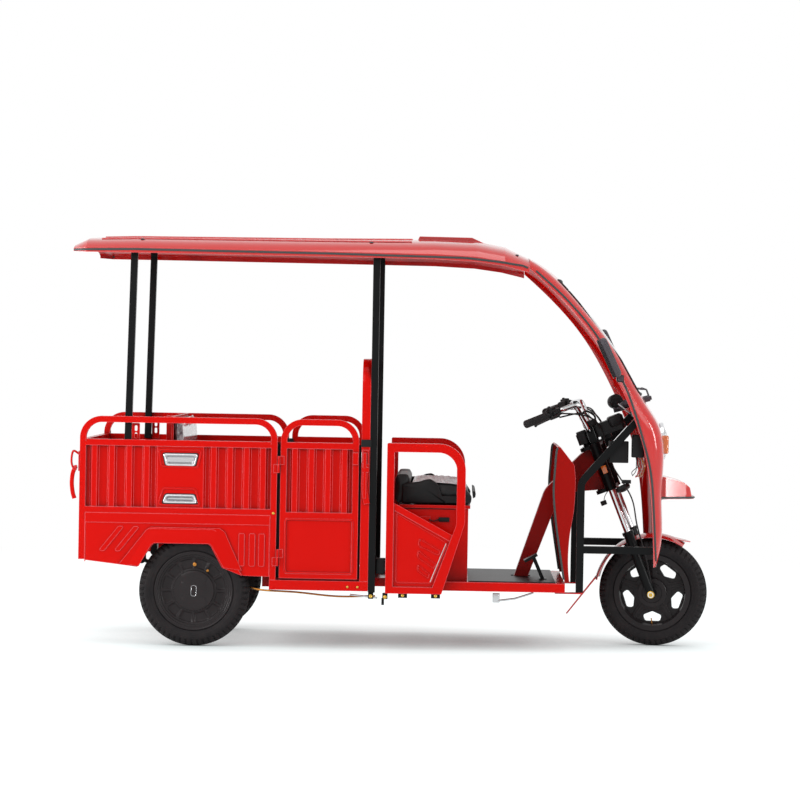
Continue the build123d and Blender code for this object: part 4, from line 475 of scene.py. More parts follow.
def hex_bolt(place, axis, across=10.0, washer=True):
    """A flanged hexagon head: six sides, a domed top and a round flange below."""
    radius, height = across / 2 / np.cos(np.pi / 6), across * 0.55
    head = spun([(0, 0), (radius, 0), (radius, height * 0.85), (radius * 0.8, height), (0, height)], place,
                axis, 6)
    if not washer:
        return head
    flange = spun([(0, 0), (across * 0.85, 0), (across * 0.85, across * 0.1), (across * 0.6, across * 0.2),
                   (0, across * 0.2)], place, axis, 20)
    return join(head, flange)


def dome_head(place, axis, radius=6.0, height=3.0, count=20):
    """A round screw or rivet head: a shallow cap of a sphere with its rim on the surface."""
    turn = np.linspace(0, np.pi / 2, 6)
    profile = np.stack([radius * np.cos(turn), height * np.sin(turn)], 1)
    return spun(np.concatenate([[(0, 0)], profile]), place, axis, count)


def mirrored(shape):
    """The shape on the vehicle's other side, its faces turned to point outwards again."""
    points, faces = shape
    return points * (1, -1, 1), faces[:, ::-1]


def both(shape):
    return join(shape, mirrored(shape))


def piece(name, shape, finish, body="chassis", smooth=True, angle=None, replaces=()):
    """A finished piece in metres: doubles merged, faces outwards, a finish, and the body it rides on."""
    points, faces = shape
    mesh = bpy.data.meshes.new(name)
    mesh.from_pydata((points * 0.001).tolist(), [], faces.tolist())
    built = bmesh.new()
    built.from_mesh(mesh)
    bmesh.ops.remove_doubles(built, verts=built.verts, dist=2e-6)
    bmesh.ops.dissolve_degenerate(built, edges=built.edges, dist=1e-7)
    bmesh.ops.recalc_face_normals(built, faces=built.faces)
    built.to_mesh(mesh)
    built.free()
    mesh.polygons.foreach_set("use_smooth", [smooth] * len(mesh.polygons))
    if smooth:
        mesh.set_sharp_from_angle(angle=np.radians(angle or 38))
    mesh.materials.append(MATERIALS[finish])
    made = put(name, mesh)
    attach(made, body)
    if replaces:
        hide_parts(*replaces)
    return made


# ================================================================ reading the frame
SURFACES = {}


def surface_of(node):
    """The CAD node's surface, to be met by straight lines."""
    if node not in SURFACES:
        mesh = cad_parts[node].data
        points = np.empty(len(mesh.vertices) * 3)
        mesh.vertices.foreach_get("co", points)
        faces = [tuple(face.vertices) for face in mesh.polygons]
        SURFACES[node] = BVHTree.FromPolygons([Vector(p) for p in points.reshape(-1, 3)], faces)
    return SURFACES[node]


def meet(node, origin, direction):
    """Where a straight line from origin first meets a CAD node, and the surface's direction there."""
    start = Vector(origin) * 0.001
    place, normal, _, _ = surface_of(node).ray_cast(start, Vector(direction).normalized())
    if place is None:
        raise ValueError(f"no {node} in the way from {origin} along {direction}")
    return np.array(place) * 1000, np.array(normal)


def laid_on(node, points, direction, proud=0.0):
    """Points moved along a direction until they lie on a CAD node, and then out from it by proud."""
    direction = unit(direction)
    met = [meet(node, point, direction)[0] for point in points]
    return np.array(met) - proud * direction


# ================================================================ the turned steering
RAKE = np.radians(21.8)
FORK_AHEAD = np.array((np.cos(RAKE), 0.0, np.sin(RAKE)))
FORK_UP = np.array((-np.sin(RAKE), 0.0, np.cos(RAKE)))
WHEEL_FOOT = np.array((1122.0, 0.0, 232.5))
FORK_OFFSET = 40.0
STEER_REST = np.radians(-9.0)


def turned(points):
    """Points of the straight-ahead steering turned by its rest angle about the head tube: Rodrigues' formula."""
    pivot = WHEEL_FOOT - FORK_OFFSET * FORK_AHEAD
    arm = np.asarray(points, float) - pivot
    return (pivot + arm * np.cos(STEER_REST) + np.cross(FORK_UP, arm) * np.sin(STEER_REST)
            + (arm @ FORK_UP)[..., None] * FORK_UP * (1 - np.cos(STEER_REST)))


def fork(*places):
    """Places given as (forward of the legs, to the left, up along them) in the turned steering."""
    places = np.asarray(places, float)
    straight = (WHEEL_FOOT + places[..., :1] * FORK_AHEAD + places[..., 1:2] * (0, 1, 0)
                + places[..., 2:] * FORK_UP)
    straight = turned(straight)
    return straight[0] if len(straight) == 1 else straight


def wheeled(shape):
    """A shape drawn round the straight-ahead front axle at (0, 0, 0), put on the turned front wheel."""
    points, faces = shape
    return turned(points + WHEEL_FOOT), faces


# ================================================================ wheels
def arc_through(start, middle, end, count):
    """Points of the circle through three points, from the first to the last, in equal angles."""
    (ax, ay), (bx, by), (cx, cy) = start, middle, end
    double = 2 * (ax * (by - cy) + bx * (cy - ay) + cx * (ay - by))
    a, b, c = ax**2 + ay**2, bx**2 + by**2, cx**2 + cy**2
    ux = (a * (by - cy) + b * (cy - ay) + c * (ay - by)) / double
    uy = (a * (cx - bx) + b * (ax - cx) + c * (bx - ax)) / double
    angles = np.unwrap([np.arctan2(y - uy, x - ux) for x, y in (start, middle, end)])
    turn = np.linspace(angles[0], angles[2], count)
    return np.stack([ux + np.hypot(ax - ux, ay - uy) * np.cos(turn),
                     uy + np.hypot(ax - ux, ay - uy) * np.sin(turn)], 1)


def zigzag(angle, pitches):
    """A triangle wave between -1 and 1."""
    return 2 * np.abs(2 * ((angle * pitches / (2 * np.pi)) % 1) - 1) - 1


def step(value, edge, width):
    """Rises from 0 to 1 over width round edge, with a smooth start and end."""
    t = np.clip((value - edge) / width + 0.5, 0, 1)
    return t * t * (3 - 2 * t)


def tyre_shape(sizes):
    """A tyre round (0, 0, 0) on the Y axis. Radius = section arc - tread depth where a groove runs.

    The grooves are a zigzag in the middle, one at each side, and notches over the shoulders; the sidewalls carry
    rings that stand out along the section's normal.
    """
    around = sizes.tread_pitches * 8
    crown = arc_through((-35, 221), (0, 232.5), (35, 221), 41)
    side = arc_through((35, 221), (44, 190), (34, 166), 30)
    bead = np.array([(34, 158), (33, 152.6), (0, 152.6), (-33, 152.6), (-34, 158)])
    other = side[::-1] * (-1, 1)
    section = np.concatenate([crown, side[1:], bead, other[:-1]])
    angle = np.linspace(0, 2 * np.pi, around, endpoint=False)[None, :]
    across, radius = section[:, :1], section[:, 1:]
    pitches = sizes.tread_pitches
    middle = 1 - step(np.abs(across - 3.5 * zigzag(angle, pitches)), 2.6, 1.6)
    flank = 1 - step(np.abs(np.abs(across) - 16 - 3.0 * zigzag(angle + 0.03 * np.sign(across), pitches)), 2.2, 1.6)
    wave = (angle * pitches / (2 * np.pi) + 0.25 * (across > 0) + np.abs(across) * 0.006) % 1
    notch = step(np.abs(wave - 0.5), 0.36, 0.08) * step(np.abs(across), 21, 3) * step(radius, 205.0, 4.0)
    depth = sizes.tread_depth * 1000 * np.clip(middle + flank + notch, 0, 1) * step(radius, 206, 6)
    rings = (0.9 * step(radius, 199, 1.5) * (1 - step(radius, 202, 1.5))
             + 1.3 * (1 - step(np.abs(radius - 172), 3, 1.6)))
    rings = rings + 0.35 * np.sin(radius * 2.4) * step(radius, 176, 3) * (1 - step(radius, 196, 3))
    outward = np.gradient(section, axis=0)
    outward = unit(np.stack([-outward[:, 1], outward[:, 0]], 1))
    outward = outward * np.sign((outward * (section - (0, 192))).sum(1, keepdims=True))
    height = np.where((radius > 160) & (np.abs(across) > 33), rings, 0) - depth
    y = across + outward[:, :1] * height
    r = radius + outward[:, 1:] * height
    points = np.stack([r * np.cos(angle), np.broadcast_to(y, r.shape), r * np.sin(angle)], -1)
    return grid(points, wrap_rows=True, wrap_columns=True)


REAR_WHEEL = np.array((-832.0, -400.0, 232.5))


def rear_rim_shape():
    """The right rear rim round (0, 0, 0): one turned section whose disc sinks into twelve pockets.

    Along is -Y, outwards; the flange's face is at 39.3. A pocket is a smooth dip in radius and angle between ribs.
    """
    face, steps, pockets, pocket_depth, plate_depth = 39.3, 288, 12, 6.0, 2.6
    cap = [(0, 37.0), (30, 37.2), (56, 36.6), (62, 35.5), (66, 36.2), (78, 35.6), (84, 33.5), (86, 24.0)]
    disc = [(88, 23.6), (92, 23.4), (94.5, 23.2), (97, 23.0), (103, 23.0), (111, 23.0), (119, 23.0),
            (127, 23.0), (131, 23.2), (133.5, 23.4), (136, 23.6), (139.5, 23.8)]
    lip = [(141, 24.5), (142.5, 30.5), (144, 31.6), (149, 31.8), (150.5, 33.0), (151.5, 36.0), (153, 37.0),
           (158, 37.3), (160, 38.8), (163, face), (165, 38.4), (165.4, 36.5), (165, 34.6)]
    back = [(152.2, 34.3), (152.2, -34.3), (165, -34.3), (165, -face), (143.2, -face), (142.4, -38),
            (142.4, 15.5), (140, 14), (72, 14), (70, 12), (70, -29), (68, -31), (13, -31), (12.4, -30),
            (12.4, 15), (0, 15)]
    section = np.array(cap + disc + lip + back, float)
    angle = np.linspace(0, 2 * np.pi, steps, endpoint=False)[None, :]
    radius, along = section[:, :1], section[:, 1:]
    front = (np.arange(len(section)) < len(cap) + len(disc))[:, None]
    pitch = (angle * pockets / (2 * np.pi)) % 1
    rib = step(np.abs(pitch - 0.5), 0.40, 0.12)
    pocket = step(radius, 95.5, 5) * (1 - step(radius, 132.5, 6)) * (1 - rib) * front
    y = along - pocket_depth * pocket
    facet = np.abs(np.cos(angle)) * radius
    plate = front * (radius < 80) * (step(facet, 44 + 0.15 * np.abs(np.sin(angle)) * radius, 3))
    y = y - plate_depth * plate
    points = np.stack([radius * np.cos(angle), -np.broadcast_to(y, (len(section), steps)),
                       radius * np.sin(angle)], -1)
    return grid(points, wrap_columns=True)


def rear_hub_badge():
    """Blank bright outline on the hub's cover, round (0, 0, 0)."""
    flat = rounded_rectangle(11, 22, 7)
    path = np.stack([flat[:, 0], np.full(len(flat), -36.2), flat[:, 1]], 1)
    return bead(path, 1.8, 1.2, closed=True)


def rear_valve():
    """Brass valve and its nut, low in the disc's ring of pockets, round (0, 0, 0)."""
    stem = spun([(0, 0), (5, 0), (5, 4), (3.4, 5), (3.4, 16), (0, 17)], (56, -24, 84), (0.2, -1, 0.2), 16)
    nut = hex_bolt((2, -24, 110), OUT, 9)
    return join(stem, nut)


def placed(shape, place):
    points, faces = shape
    return points + place, faces


def front_rim_relief():
    """Raised star on the front wheel's web, and the stepped rings inside the rim's edge, on both sides.

    Each star arm is a bar of rounded section from the drum to the rim, between two openings.
    """
    arms = []
    for arm in range(5):
        angle = np.radians(-90 + 36 + 72 * arm)
        spoke = np.array((np.cos(angle), 0, np.sin(angle)))
        path = spoke * np.linspace(60, 140, 12)[:, None]
        width = np.linspace(19, 11, 12)
        flat = rounded_rectangle(1.0, 1.0, 0.5, 4)
        across = np.cross(spoke, (0, 1, 0))
        rings = (path[:, None] + flat[None, :, :1] * width[:, None, None] * across
                 + flat[None, :, 1:] * (0, 4.0, 0) + np.array((0, -8.5, 0)))
        arms.append(capped(rings))
        ridge = spoke * np.linspace(66, 136, 12)[:, None]
        rings = (ridge[:, None] + flat[None, :, :1] * width[:, None, None] * 0.35 * across
                 + flat[None, :, 1:] * (0, 3.0, 0) + np.array((0, -12.5, 0)))
        arms.append(capped(rings))
    rings = [ring_loop(profile, (0, 0, 0), (0, 1, 0), count) for profile, count in (
        ([(143.5, -38.8), (141.0, -30), (136, -12), (134.5, -7.5), (138, -6.5), (143.5, -9)], 96),
        ([(62, -46), (60, -47.6), (44, -48.2), (42, -46)], 96),
        ([(84, -7), (82, -10.5), (66, -13), (61.5, -13), (61.5, -7)], 96),
        ([(30, -45), (29, -51.0), (21, -52.0), (20.5, -45)], 48))]
    return both(join(*arms, *rings))


# ================================================================ padded pieces
def pad(name, node, finish, voxel_mm, swell_mm, shrink_mm, pressure=4.0, wrinkle=None):
    """A cushion blown up from its solid.

    The solid is remeshed and drawn in along its normals, cloth under pressure swells it, and each point is kept
    within swell_mm of its start and inside the solid's box.
    """
    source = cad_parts[node]
    mesh = source.data.copy()
    mesh.name = name
    made = put(name, mesh)
    built = bmesh.new()
    built.from_mesh(mesh)
    bmesh.ops.remove_doubles(built, verts=built.verts, dist=1e-5)
    bmesh.ops.recalc_face_normals(built, faces=built.faces)
    built.to_mesh(mesh)
    built.free()
    keep_modifiers(made, ("REMESH", {"mode": "VOXEL", "voxel_size": voxel_mm * 0.001, "use_smooth_shade": True}),
                   ("SMOOTH", {"factor": 0.5, "iterations": 4}))
    start, normals = point_arrays(made.data)
    start = start - normals * shrink_mm * 0.001
    set_points(made.data, start)
    cloth = made.modifiers.new("cloth", "CLOTH")
    cloth.settings.use_pressure = True
    cloth.settings.uniform_pressure_force = pressure
    cloth.settings.effector_weights.gravity = 0.0
    cloth.settings.quality = 4
    cloth.settings.bending_stiffness = 0.4
    for number in range(1, 16):
        bpy.context.scene.frame_set(number)
    read = made.evaluated_get(bpy.context.evaluated_depsgraph_get()).data
    blown, _ = point_arrays(read)
    made.modifiers.remove(cloth)
    bpy.context.scene.frame_set(1)
    shift = blown - start
    length = np.linalg.norm(shift, axis=1, keepdims=True)
    shift = shift * np.minimum(1, swell_mm * 0.001 / np.maximum(length, 1e-9))
    place = start + shift
    if wrinkle is not None:
        place = place + normals * wrinkle(start * 1000)[:, None] * 0.001
    low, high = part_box(node)
    set_points(made.data, np.clip(place, np.array(low), np.array(high)))
    keep_modifiers(made, ("SUBSURF", {"levels": 1, "render_levels": 1}))
    made.data.polygons.foreach_set("use_smooth", [True] * len(made.data.polygons))
    made.data.materials.clear()
    made.data.materials.append(MATERIALS[finish])
    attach(made, "chassis")
    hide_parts(node)
    return made


def keep_modifiers(made, *modifiers):
    """Adds modifiers and puts their result into the mesh."""
    for kind, settings in modifiers:
        modifier = made.modifiers.new(kind.lower(), kind)
        for name, value in settings.items():
            setattr(modifier, name, value)
    graph = bpy.context.evaluated_depsgraph_get()
    result = bpy.data.meshes.new_from_object(made.evaluated_get(graph), depsgraph=graph)
    made.modifiers.clear()
    old, made.data = made.data, result
    bpy.data.meshes.remove(old)


def point_arrays(mesh):
    """The mesh's points and their normals."""
    places = np.empty(len(mesh.vertices) * 3)
    normals = np.empty(len(mesh.vertices) * 3)
    mesh.vertices.foreach_get("co", places)
    mesh.vertex_normals.foreach_get("vector", normals)
    return places.reshape(-1, 3), normals.reshape(-1, 3)


def set_points(mesh, places):
    mesh.vertices.foreach_set("co", places.reshape(-1))
    mesh.update()


# ================================================================ small shapes laid on the body
OUT = np.array((0.0, -1.0, 0.0))     # outwards on the vehicle's right


def rounded_path(points, radius, closed=False, steps=5):
    """Straight runs whose corners are rounded: each corner is a parabola that starts and ends a radius from it."""
    points = np.asarray(points, float)
    arms = [np.roll(points, shift, 0) - points for shift in (1, -1)]
    lengths = [np.maximum(np.linalg.norm(arm, axis=1, keepdims=True), 1e-6) for arm in arms]
    start, end = (points + arm / length * np.minimum(radius, length * 0.45) for arm, length in zip(arms, lengths))
    t = np.linspace(0, 1, steps)[:, None, None]
    arcs = ((1 - t) ** 2 * start + 2 * t * (1 - t) * points + t**2 * end).transpose(1, 0, 2).reshape(-1, 3)
    return arcs if closed else np.concatenate([points[:1], arcs[steps:-steps], points[-1:]])


def bead(path, width, height, side=OUT, closed=False, sunk=1.0):
    """A half-round bead along a path: height * sqrt(1 - (2 across / width)^2) over the surface."""
    turn = np.linspace(0, np.pi, 7)
    crown = np.stack([-np.cos(turn) * width / 2, np.sin(turn) * height], 1)
    profile = np.concatenate([[(-width / 2, -sunk)], crown, [(width / 2, -sunk)]])
    return sweep(path, profile, side, closed)


def tape(path, width, height, side=OUT, closed=False, sunk=1.0):
    """A flat strip with eased edges along a path."""
    half, ease = width / 2, min(width, height) * 0.25
    profile = [(-half, -sunk), (-half, height - ease), (-half + ease, height), (half - ease, height),
               (half, height - ease), (half, -sunk)]
    return sweep(path, profile, side, closed)


def raised(path, height, slope, outward=OUT, sunk=1.0):
    """A plate with sloping edges: a closed path lifted by height along outward and drawn in by slope."""
    path, outward = np.asarray(path, float), np.asarray(outward, float)
    inward = np.cross(outward, unit(np.roll(path, -1, 0) - np.roll(path, 1, 0)))
    inward = inward * np.sign(((path.mean(0) - path) * inward).sum())
    steps = ((-sunk, 0.0), (0.0, 0.0), (height * 0.8, slope * 0.6), (height, slope))
    return capped(np.stack([path + lift * outward + drawn * inward for lift, drawn in steps]))


def right_side(points, y):
    """(X, Z) places on the vehicle's right, y out from the middle."""
    return np.array([(x, -y, z) for x, z in points], float)


def over(node, points, proud=0.0, start=700.0):
    """(X, Z) places carried inwards from the vehicle's right until they lie on a CAD node."""
    return laid_on(node, right_side(points, start), (0, 1, 0), proud)


def bolt_row(places, axis, across=10.0):
    return join(*[hex_bolt(np.asarray(place, float), axis, across) for place in places])


def dome_row(places, axis, radius=6.0, height=3.0):
    return join(*[dome_head(np.asarray(place, float), axis, radius, height) for place in places])


# ================================================================ body side
PANEL_FACE, BOWL_RIM_FACE, RAIL_FACE = 456.0, 458.3, 460.0     # how far out the body side's faces lie
BOWLS = (((-894, 808, 74), (-894, 757, 61)), ((-894, 600, 74), (-894, 637, 61)))


def bowl_path(margin, y):
    """Both bowls' trapezoids, drawn out by margin, on the plain panel."""
    paths = []
    for (x, wide_z, wide), (_, narrow_z, narrow) in BOWLS:
        up = np.sign(wide_z - narrow_z)
        corners_at = [(x - wide - margin, wide_z + up * margin), (x + wide + margin, wide_z + up * margin),
                      (x + narrow + margin, narrow_z - up * margin), (x - narrow - margin, narrow_z - up * margin)]
        paths.append(rounded_path(right_side(corners_at, y), 9 + margin * 0.5, closed=True))
    return paths


def bowl_rims():
    """Bright rolled edge of each bowl."""
    return join(*[bead(path, 5, 2.6, closed=True) for path in bowl_path(-3.5, BOWL_RIM_FACE)])


def bowl_gaskets_and_slot_shade():
    """Black gasket round each bowl; along the upper lip the same black bead is painted shade for the slot behind
    it.
    """
    return join(*[bead(path, 4.5, 1.6, closed=True) for path in bowl_path(2.0, PANEL_FACE)])


def panel_borders():
    """Pressed border round each bowl: a trapezoid a little larger than the bowl."""
    upper = [(-985, 824), (-806, 822), (-822, 752), (-974, 754)]
    lower = [(-965, 662), (-829, 661), (-811, 592), (-985, 592)]
    return join(*[bead(rounded_path(right_side(corners_at, PANEL_FACE), 9, closed=True), 9, 3.6, closed=True)
                  for corners_at in (upper, lower)])


def arch_flare():
    """The arch's band turned outwards: it rises in a straight slope from the skirt to the arch's edge.

    Outer and inner line are cut into equal shares; out = 464.6 + 8 * share of the way, then the lip folds back.
    """
    outer = [(-1119, 341), (-1030, 488), (-1016, 499), (-724, 498), (-703, 484), (-629, 323)]
    inner = [(-1062, 334), (-1010, 424), (-998, 432), (-768, 432), (-757, 424), (-706, 333)]
    share = np.concatenate([np.linspace(i, i + 1, 9)[:-1] for i in range(5)] + [[5.0]])
    outer, inner = (np.stack([np.interp(share, range(6), [p[k] for p in line]) for k in (0, 1)], 1)
                    for line in (outer, inner))
    levels = ((0.0, 463.0), (0.0, 464.6), (0.55, 468.8), (0.92, 472.0), (0.985, 472.2), (1.0, 470.5), (1.0, 463.0))
    rows = [np.stack([outer[:, 0] + (inner[:, 0] - outer[:, 0]) * part, np.full(len(outer), -out),
                      outer[:, 1] + (inner[:, 1] - outer[:, 1]) * part], 1) for part, out in levels]
    return capped(np.stack(rows, 1))


def body_seams():
    """Fine folded seams along the skirt's top band and up the corner tubes."""
    band = [bead(right_side([(-1290, z), (-514, z)], RAIL_FACE), 5, 1.6) for z in (554, 517)]
    uprights = [bead(right_side([(-1289, 350), (-1289, 553)], RAIL_FACE), 4, 1.4),
                bead(right_side([(-516, 300), (-516, 553)], RAIL_FACE), 4, 1.4)]
    return join(*band, *uprights)


def gap_shade_strips():
    """Black strips behind the gaps at both edges of the door: painted shade that makes the gaps dark."""
    return join(slab((-486.5, -428.5, 576), (37, 3, 560), 1, 0.6),
                slab((-145.0, -428.5, 576), (15, 3, 560), 1, 0.6))


def body_bolts():
    """Zinc-plated bolts on the body's corner and the floor beam."""
    side_bolts = over("side_panel_right", [(-501, 565)])
    beam = over("main_frame", [(-186, 262), (-144, 262)])
    return join(dome_row(side_bolts, OUT, 6, 4), dome_row(beam, OUT, 5.5, 4))


def hoop_latches():
    """Strike plate of the door's latch, on its post."""
    return slab((-131, -461.5, 806), (9, 3, 44), 1, 0.8)


def latch_red():
    """Door catch: a channel with a long pull handle that hangs from it."""
    channel = join(slab((-130.5, -464, 806), (6, 8, 52), 1, 1), slab((-107, -464, 806), (6, 8, 52), 1, 1),
                   slab((-119, -462, 783), (24, 4, 6), 1, 1))
    path = right_side([(-117, 780), (-118, 745), (-122, 690), (-116, 640), (-110, 612)], 466)
    handle = sweep(curve(path, 30), rounded_rectangle(13, 4, 3), (0, -1, 0))
    knob = slab((-117, -467, 754), (30, 12, 20), 5, 3)
    return join(channel, handle, knob)


def latch_black():
    """Black strap that holds the headboard to the post, and a black plate in the catch's slot that is painted
    shade.
    """
    strap = slab((-117, -462, 865), (42, 4, 30), 3, 1)
    return join(strap, slab((-119, -461.5, 806), (17, 3, 46), 1, 0.6))


def gate_hook():
    """Over-centre hook that pulls the tailgate shut, on the corner tube."""
    hook = bar(curve([(-1322, -447, 800), (-1343, -447, 812), (-1351, -447, 795), (-1352, -447, 762),
                      (-1343, -447, 738), (-1330, -447, 735)], 40), 4.5, 10, (0, 1, 0))
    lever = sweep(curve([(-1334, -447, 748), (-1346, -447, 720), (-1350, -447, 680), (-1346, -447, 640),
                         (-1338, -447, 612)], 30), rounded_rectangle(9, 3, 2.5), (0, 1, 0))
    base = slab((-1320, -447, 770), (6, 20, 84), 2, 1)
    pin = bar([(-1334, -458, 748), (-1334, -436, 748)], 5, 14, (1, 0, 0))
    return join(hook, lever, base, pin)


def door_border():
    """Pressed rectangle on the door's lower panel."""
    return bead(rounded_path(over("door_right", [(-450, 318), (-168, 318), (-168, 542), (-450, 542)]), 12,
                             closed=True), 8, 2.8, closed=True)


def hoop_welds():
    """Weld beads where the hoop's tubes meet the rails."""
    places = [(-1291, 866), (-514, 866)]
    return join(*[bead(right_side([(x, z - 12), (x, z + 10)], 459.6), 4, 1.8) for x, z in places])


# ================================================================ canopy and front
def roof_edging():
    """Push-on grey edging along the canopy's lower lip."""
    x = np.linspace(-1348, 545, 90)
    z = np.interp(x, (-1353, -1100, -280, 285, 427, 527, 552), (1654, 1659, 1654, 1645, 1631, 1617, 1606))
    return tape(over("roof_shell", list(zip(x, z))), 8, 4, sunk=2)


def roof_ribs():
    """Stiffening beads pressed along the canopy, and a gutter bead near each side."""
    x = np.linspace(-1240, 60, 60)
    ribs = []
    for y in (-430, -290, -145, 0, 145, 290, 430):
        top = laid_on("roof_shell", np.stack([x, np.full(60, y), np.full(60, 2000)], 1), (0, 0, -1))
        ribs.append(bead(top, 20, 5, (0, 0, 1)))
    return join(*ribs)


def roof_bolts():
    """Capped bolts that hold the canopy to its bows, and at the front joint."""
    right = ((-1067, 455), (-109, 455), (-109, 200), (-1067, 200), (500, 430))
    places = np.array([(x, side * y, 2000.0) for x, y in right for side in (-1, 1)])
    return dome_row(laid_on("roof_shell", places, (0, 0, -1), -0.5), (0, 0, 1), 9, 6)


def screen_gasket():
    """Rubber gasket round the windscreen: the rounded four-sided path, laid on the front from ahead."""
    corners_at = [(2000, -392, 1562), (2000, 392, 1562), (2000, 374, 1088), (2000, -374, 1088)]
    path = rounded_path(corners_at, 50, closed=True, steps=7)
    share = np.linspace(0, 1, 9)[:-1, None, None]
    dense = (path * (1 - share) + np.roll(path, -1, 0) * share).transpose(1, 0, 2).reshape(-1, 3)
    met = []
    for point in dense:
        for node in ("front_shell", "windscreen"):
            try:
                met.append(meet(node, point, (-1, 0, 0))[0])
                break
            except ValueError:
                continue
    path = np.array(met)
    return bead(path, 14, 6, (1, 0, 0.45), closed=True, sunk=3)


def visor_edging():
    """Grey edging round the beak's lower edge."""
    angle = np.radians(np.linspace(-84, 84, 70))
    start = np.stack([1100 + 600 * np.cos(angle), 600 * np.sin(angle), np.full(70, 647.0)], 1)
    path = np.array([meet("front_shell", point, np.array((1100, 0, 647)) - point)[0] for point in start])
    return bead(path, 9, 3.5, (1, 0, 0), sunk=3)


PILLAR_EDGE = ((572, 1597), (690, 1492), (800, 1372), (890, 1240), (960, 1108), (1000, 1004), (1032, 904),
               (1062, 799), (1078, 705), (1088, 588), (1096, 470), (1103, 385))


def pillar_edging():
    """Grey edging down the pillar, the side of the nose and the leg, on the shell's rear edge."""
    places = curve([(x, 0, z) for x, z in PILLAR_EDGE], 80)[:, [0, 2]]
    return bead(over("front_shell", places + (9, 0)), 9, 4, sunk=3)


SHIELD_EDGE = ((690, 856), (684, 837), (679, 761), (675, 700), (677, 634), (691, 510), (724, 300))


def shield_edging():
    """Grey edging down the leg shield's open edges."""
    line = curve([(x, 0, z) for x, z in SHIELD_EDGE], 50)
    return bead(right_side(line[:, [0, 2]], 328.5), 9, 4, (0, -1, 0), sunk=4)


HEADLAMP = (1152, 0, 872)     # middle of the lens, in the nose's front


def lamp_pieces():
    """The headlamp's domed lens, its aluminised bowl with the bulb, and the bright bezel."""
    turn = np.linspace(0, 1, 14)
    radius = 84 * np.sin(turn * np.pi / 2)
    outside = np.stack([radius, -8 + 29 * np.cos(turn * np.pi / 2)], 1)
    inside = np.stack([radius * 0.97, -9 + 26 * np.cos(turn * np.pi / 2)], 1)
    lens_shape = spun(np.concatenate([outside, inside[::-1]]), HEADLAMP, (1, 0, 0), 64)
    bowl_radius = np.linspace(12, 80, 14)
    front = np.stack([bowl_radius, -70 + 58 * (bowl_radius / 80) ** 2], 1)
    back = [(81, -14), (78, -30), (30, -80), (0, -82)]
    bowl = spun(np.concatenate([[(0, -68)], front, back]), HEADLAMP, (1, 0, 0), 64)
    bulb = spun([(0, -30), (5, -31), (7, -36), (7, -50), (10, -56), (10, -70)], HEADLAMP, (1, 0, 0), 20)
    bezel = ring_loop([(84, -12), (84, -3), (88, 1), (92, 0), (93, -6), (91, -14)], HEADLAMP, (1, 0, 0), 72)
    return lens_shape, bowl, bulb, bezel


# ================================================================ driver's place
def seat_wing():
    """Moulded apron between the seat's base and its cushion: a raised panel with sloping edges, and a flat rest
    along its foot.
    """
    outline_at = [(34, 610), (34, 690), (60, 699), (107, 703), (128, 712), (153, 716), (176, 702), (192, 686),
                  (204, 645), (226, 612)]
    panel = raised(rounded_path(right_side(outline_at, 321.5), 6, closed=True), 8, 6, sunk=4)
    rest = slab((180, -322, 629), (290, 6, 30), 4, 2)
    return join(panel, rest)


def seat_lip():
    """Fluted strip round the front of the cushion."""
    y = np.linspace(-300, 300, 120)
    rows = []
    for z, x in ((636, 336), (640, 343), (652, 345), (664, 342), (668, 334)):
        rows.append(np.stack([x + 1.6 * np.cos(y * 2 * np.pi / 14), y, np.full(120, z)], 1))
    return capped(np.stack(rows, 1))


def seat_foam():
    """Crumpled foam wrap over the top of the cushion: three sine waves that cross at odd angles."""
    x, y = np.meshgrid(np.linspace(78, 306, 58), np.linspace(-306, 306, 110), indexing="ij")
    edge = np.minimum(np.minimum(x - 78, 306 - x) / 24, np.minimum(y + 306, 306 - y) / 24).clip(0, 1)
    crumple = (2.2 * np.sin(x * 0.23 + 1.3 * np.sin(y * 0.11)) + 1.6 * np.sin(y * 0.31 + x * 0.17)
               + 1.2 * np.sin(x * 0.41 - y * 0.19))
    top = np.interp(x, (78, 120, 200, 240, 285, 306), (699, 703, 702, 700, 694, 684))
    z = top + edge ** 0.5 * (3.5 + 0.8 * crumple)
    upper = np.stack([x, y, z], -1)
    lower = np.stack([x, y, top - 3], -1)
    skin_points, skin_faces = grid(upper)
    under_points, under_faces = grid(lower)
    rim = np.concatenate([np.arange(0, 58) * 110, 57 * 110 + np.arange(1, 110),
                          (np.arange(56, -1, -1)) * 110 + 109, np.arange(108, 0, -1)])
    after = np.roll(rim, -1)
    wall = np.stack([rim, after, after + len(skin_points), rim + len(skin_points)], 1)
    faces = np.concatenate([skin_faces, under_faces[:, ::-1] + len(skin_points), wall])
    return np.concatenate([skin_points, under_points]), faces


def seat_fittings():
    """Hinge strip under the seat and the key plate below it."""
    strip = slab((137, -331, 598), (246, 3, 9), 1, 0.6)
    plate = slab((134, -331, 545), (44, 3, 26), 3, 1)
    return join(strip, plate)


def seat_sockets():
    socket = slab((214, -333, 545), (44, 6, 18), 3, 1)
    cable = bar(curve([(152, -334, 545), (170, -338, 538), (192, -334, 546)], 20), 2.2, 8)
    line = slab((137, -331, 590), (246, 3, 3), 1, 0.5)
    return join(socket, cable, line)


def guard_details():
    """Pressed slots and border of the guard's lower panel; each slot is a raised rim."""
    slots = []
    for shape in (((113, 469), (202, 419), (194, 402), (108, 441)),
                  ((110, 420), (184, 362), (176, 345), (106, 392)),
                  ((108, 360), (158, 322), (152, 304), (107, 336))):
        slots.append(bead(rounded_path(over("guard_right", shape), 6, closed=True), 6, 2.6, closed=True))
    border = bead(rounded_path(over("guard_right", [(16, 575), (40, 560), (232, 450), (164, 284), (16, 284)]),
                               8, closed=True), 6, 2.2, closed=True)
    return join(*slots, border)


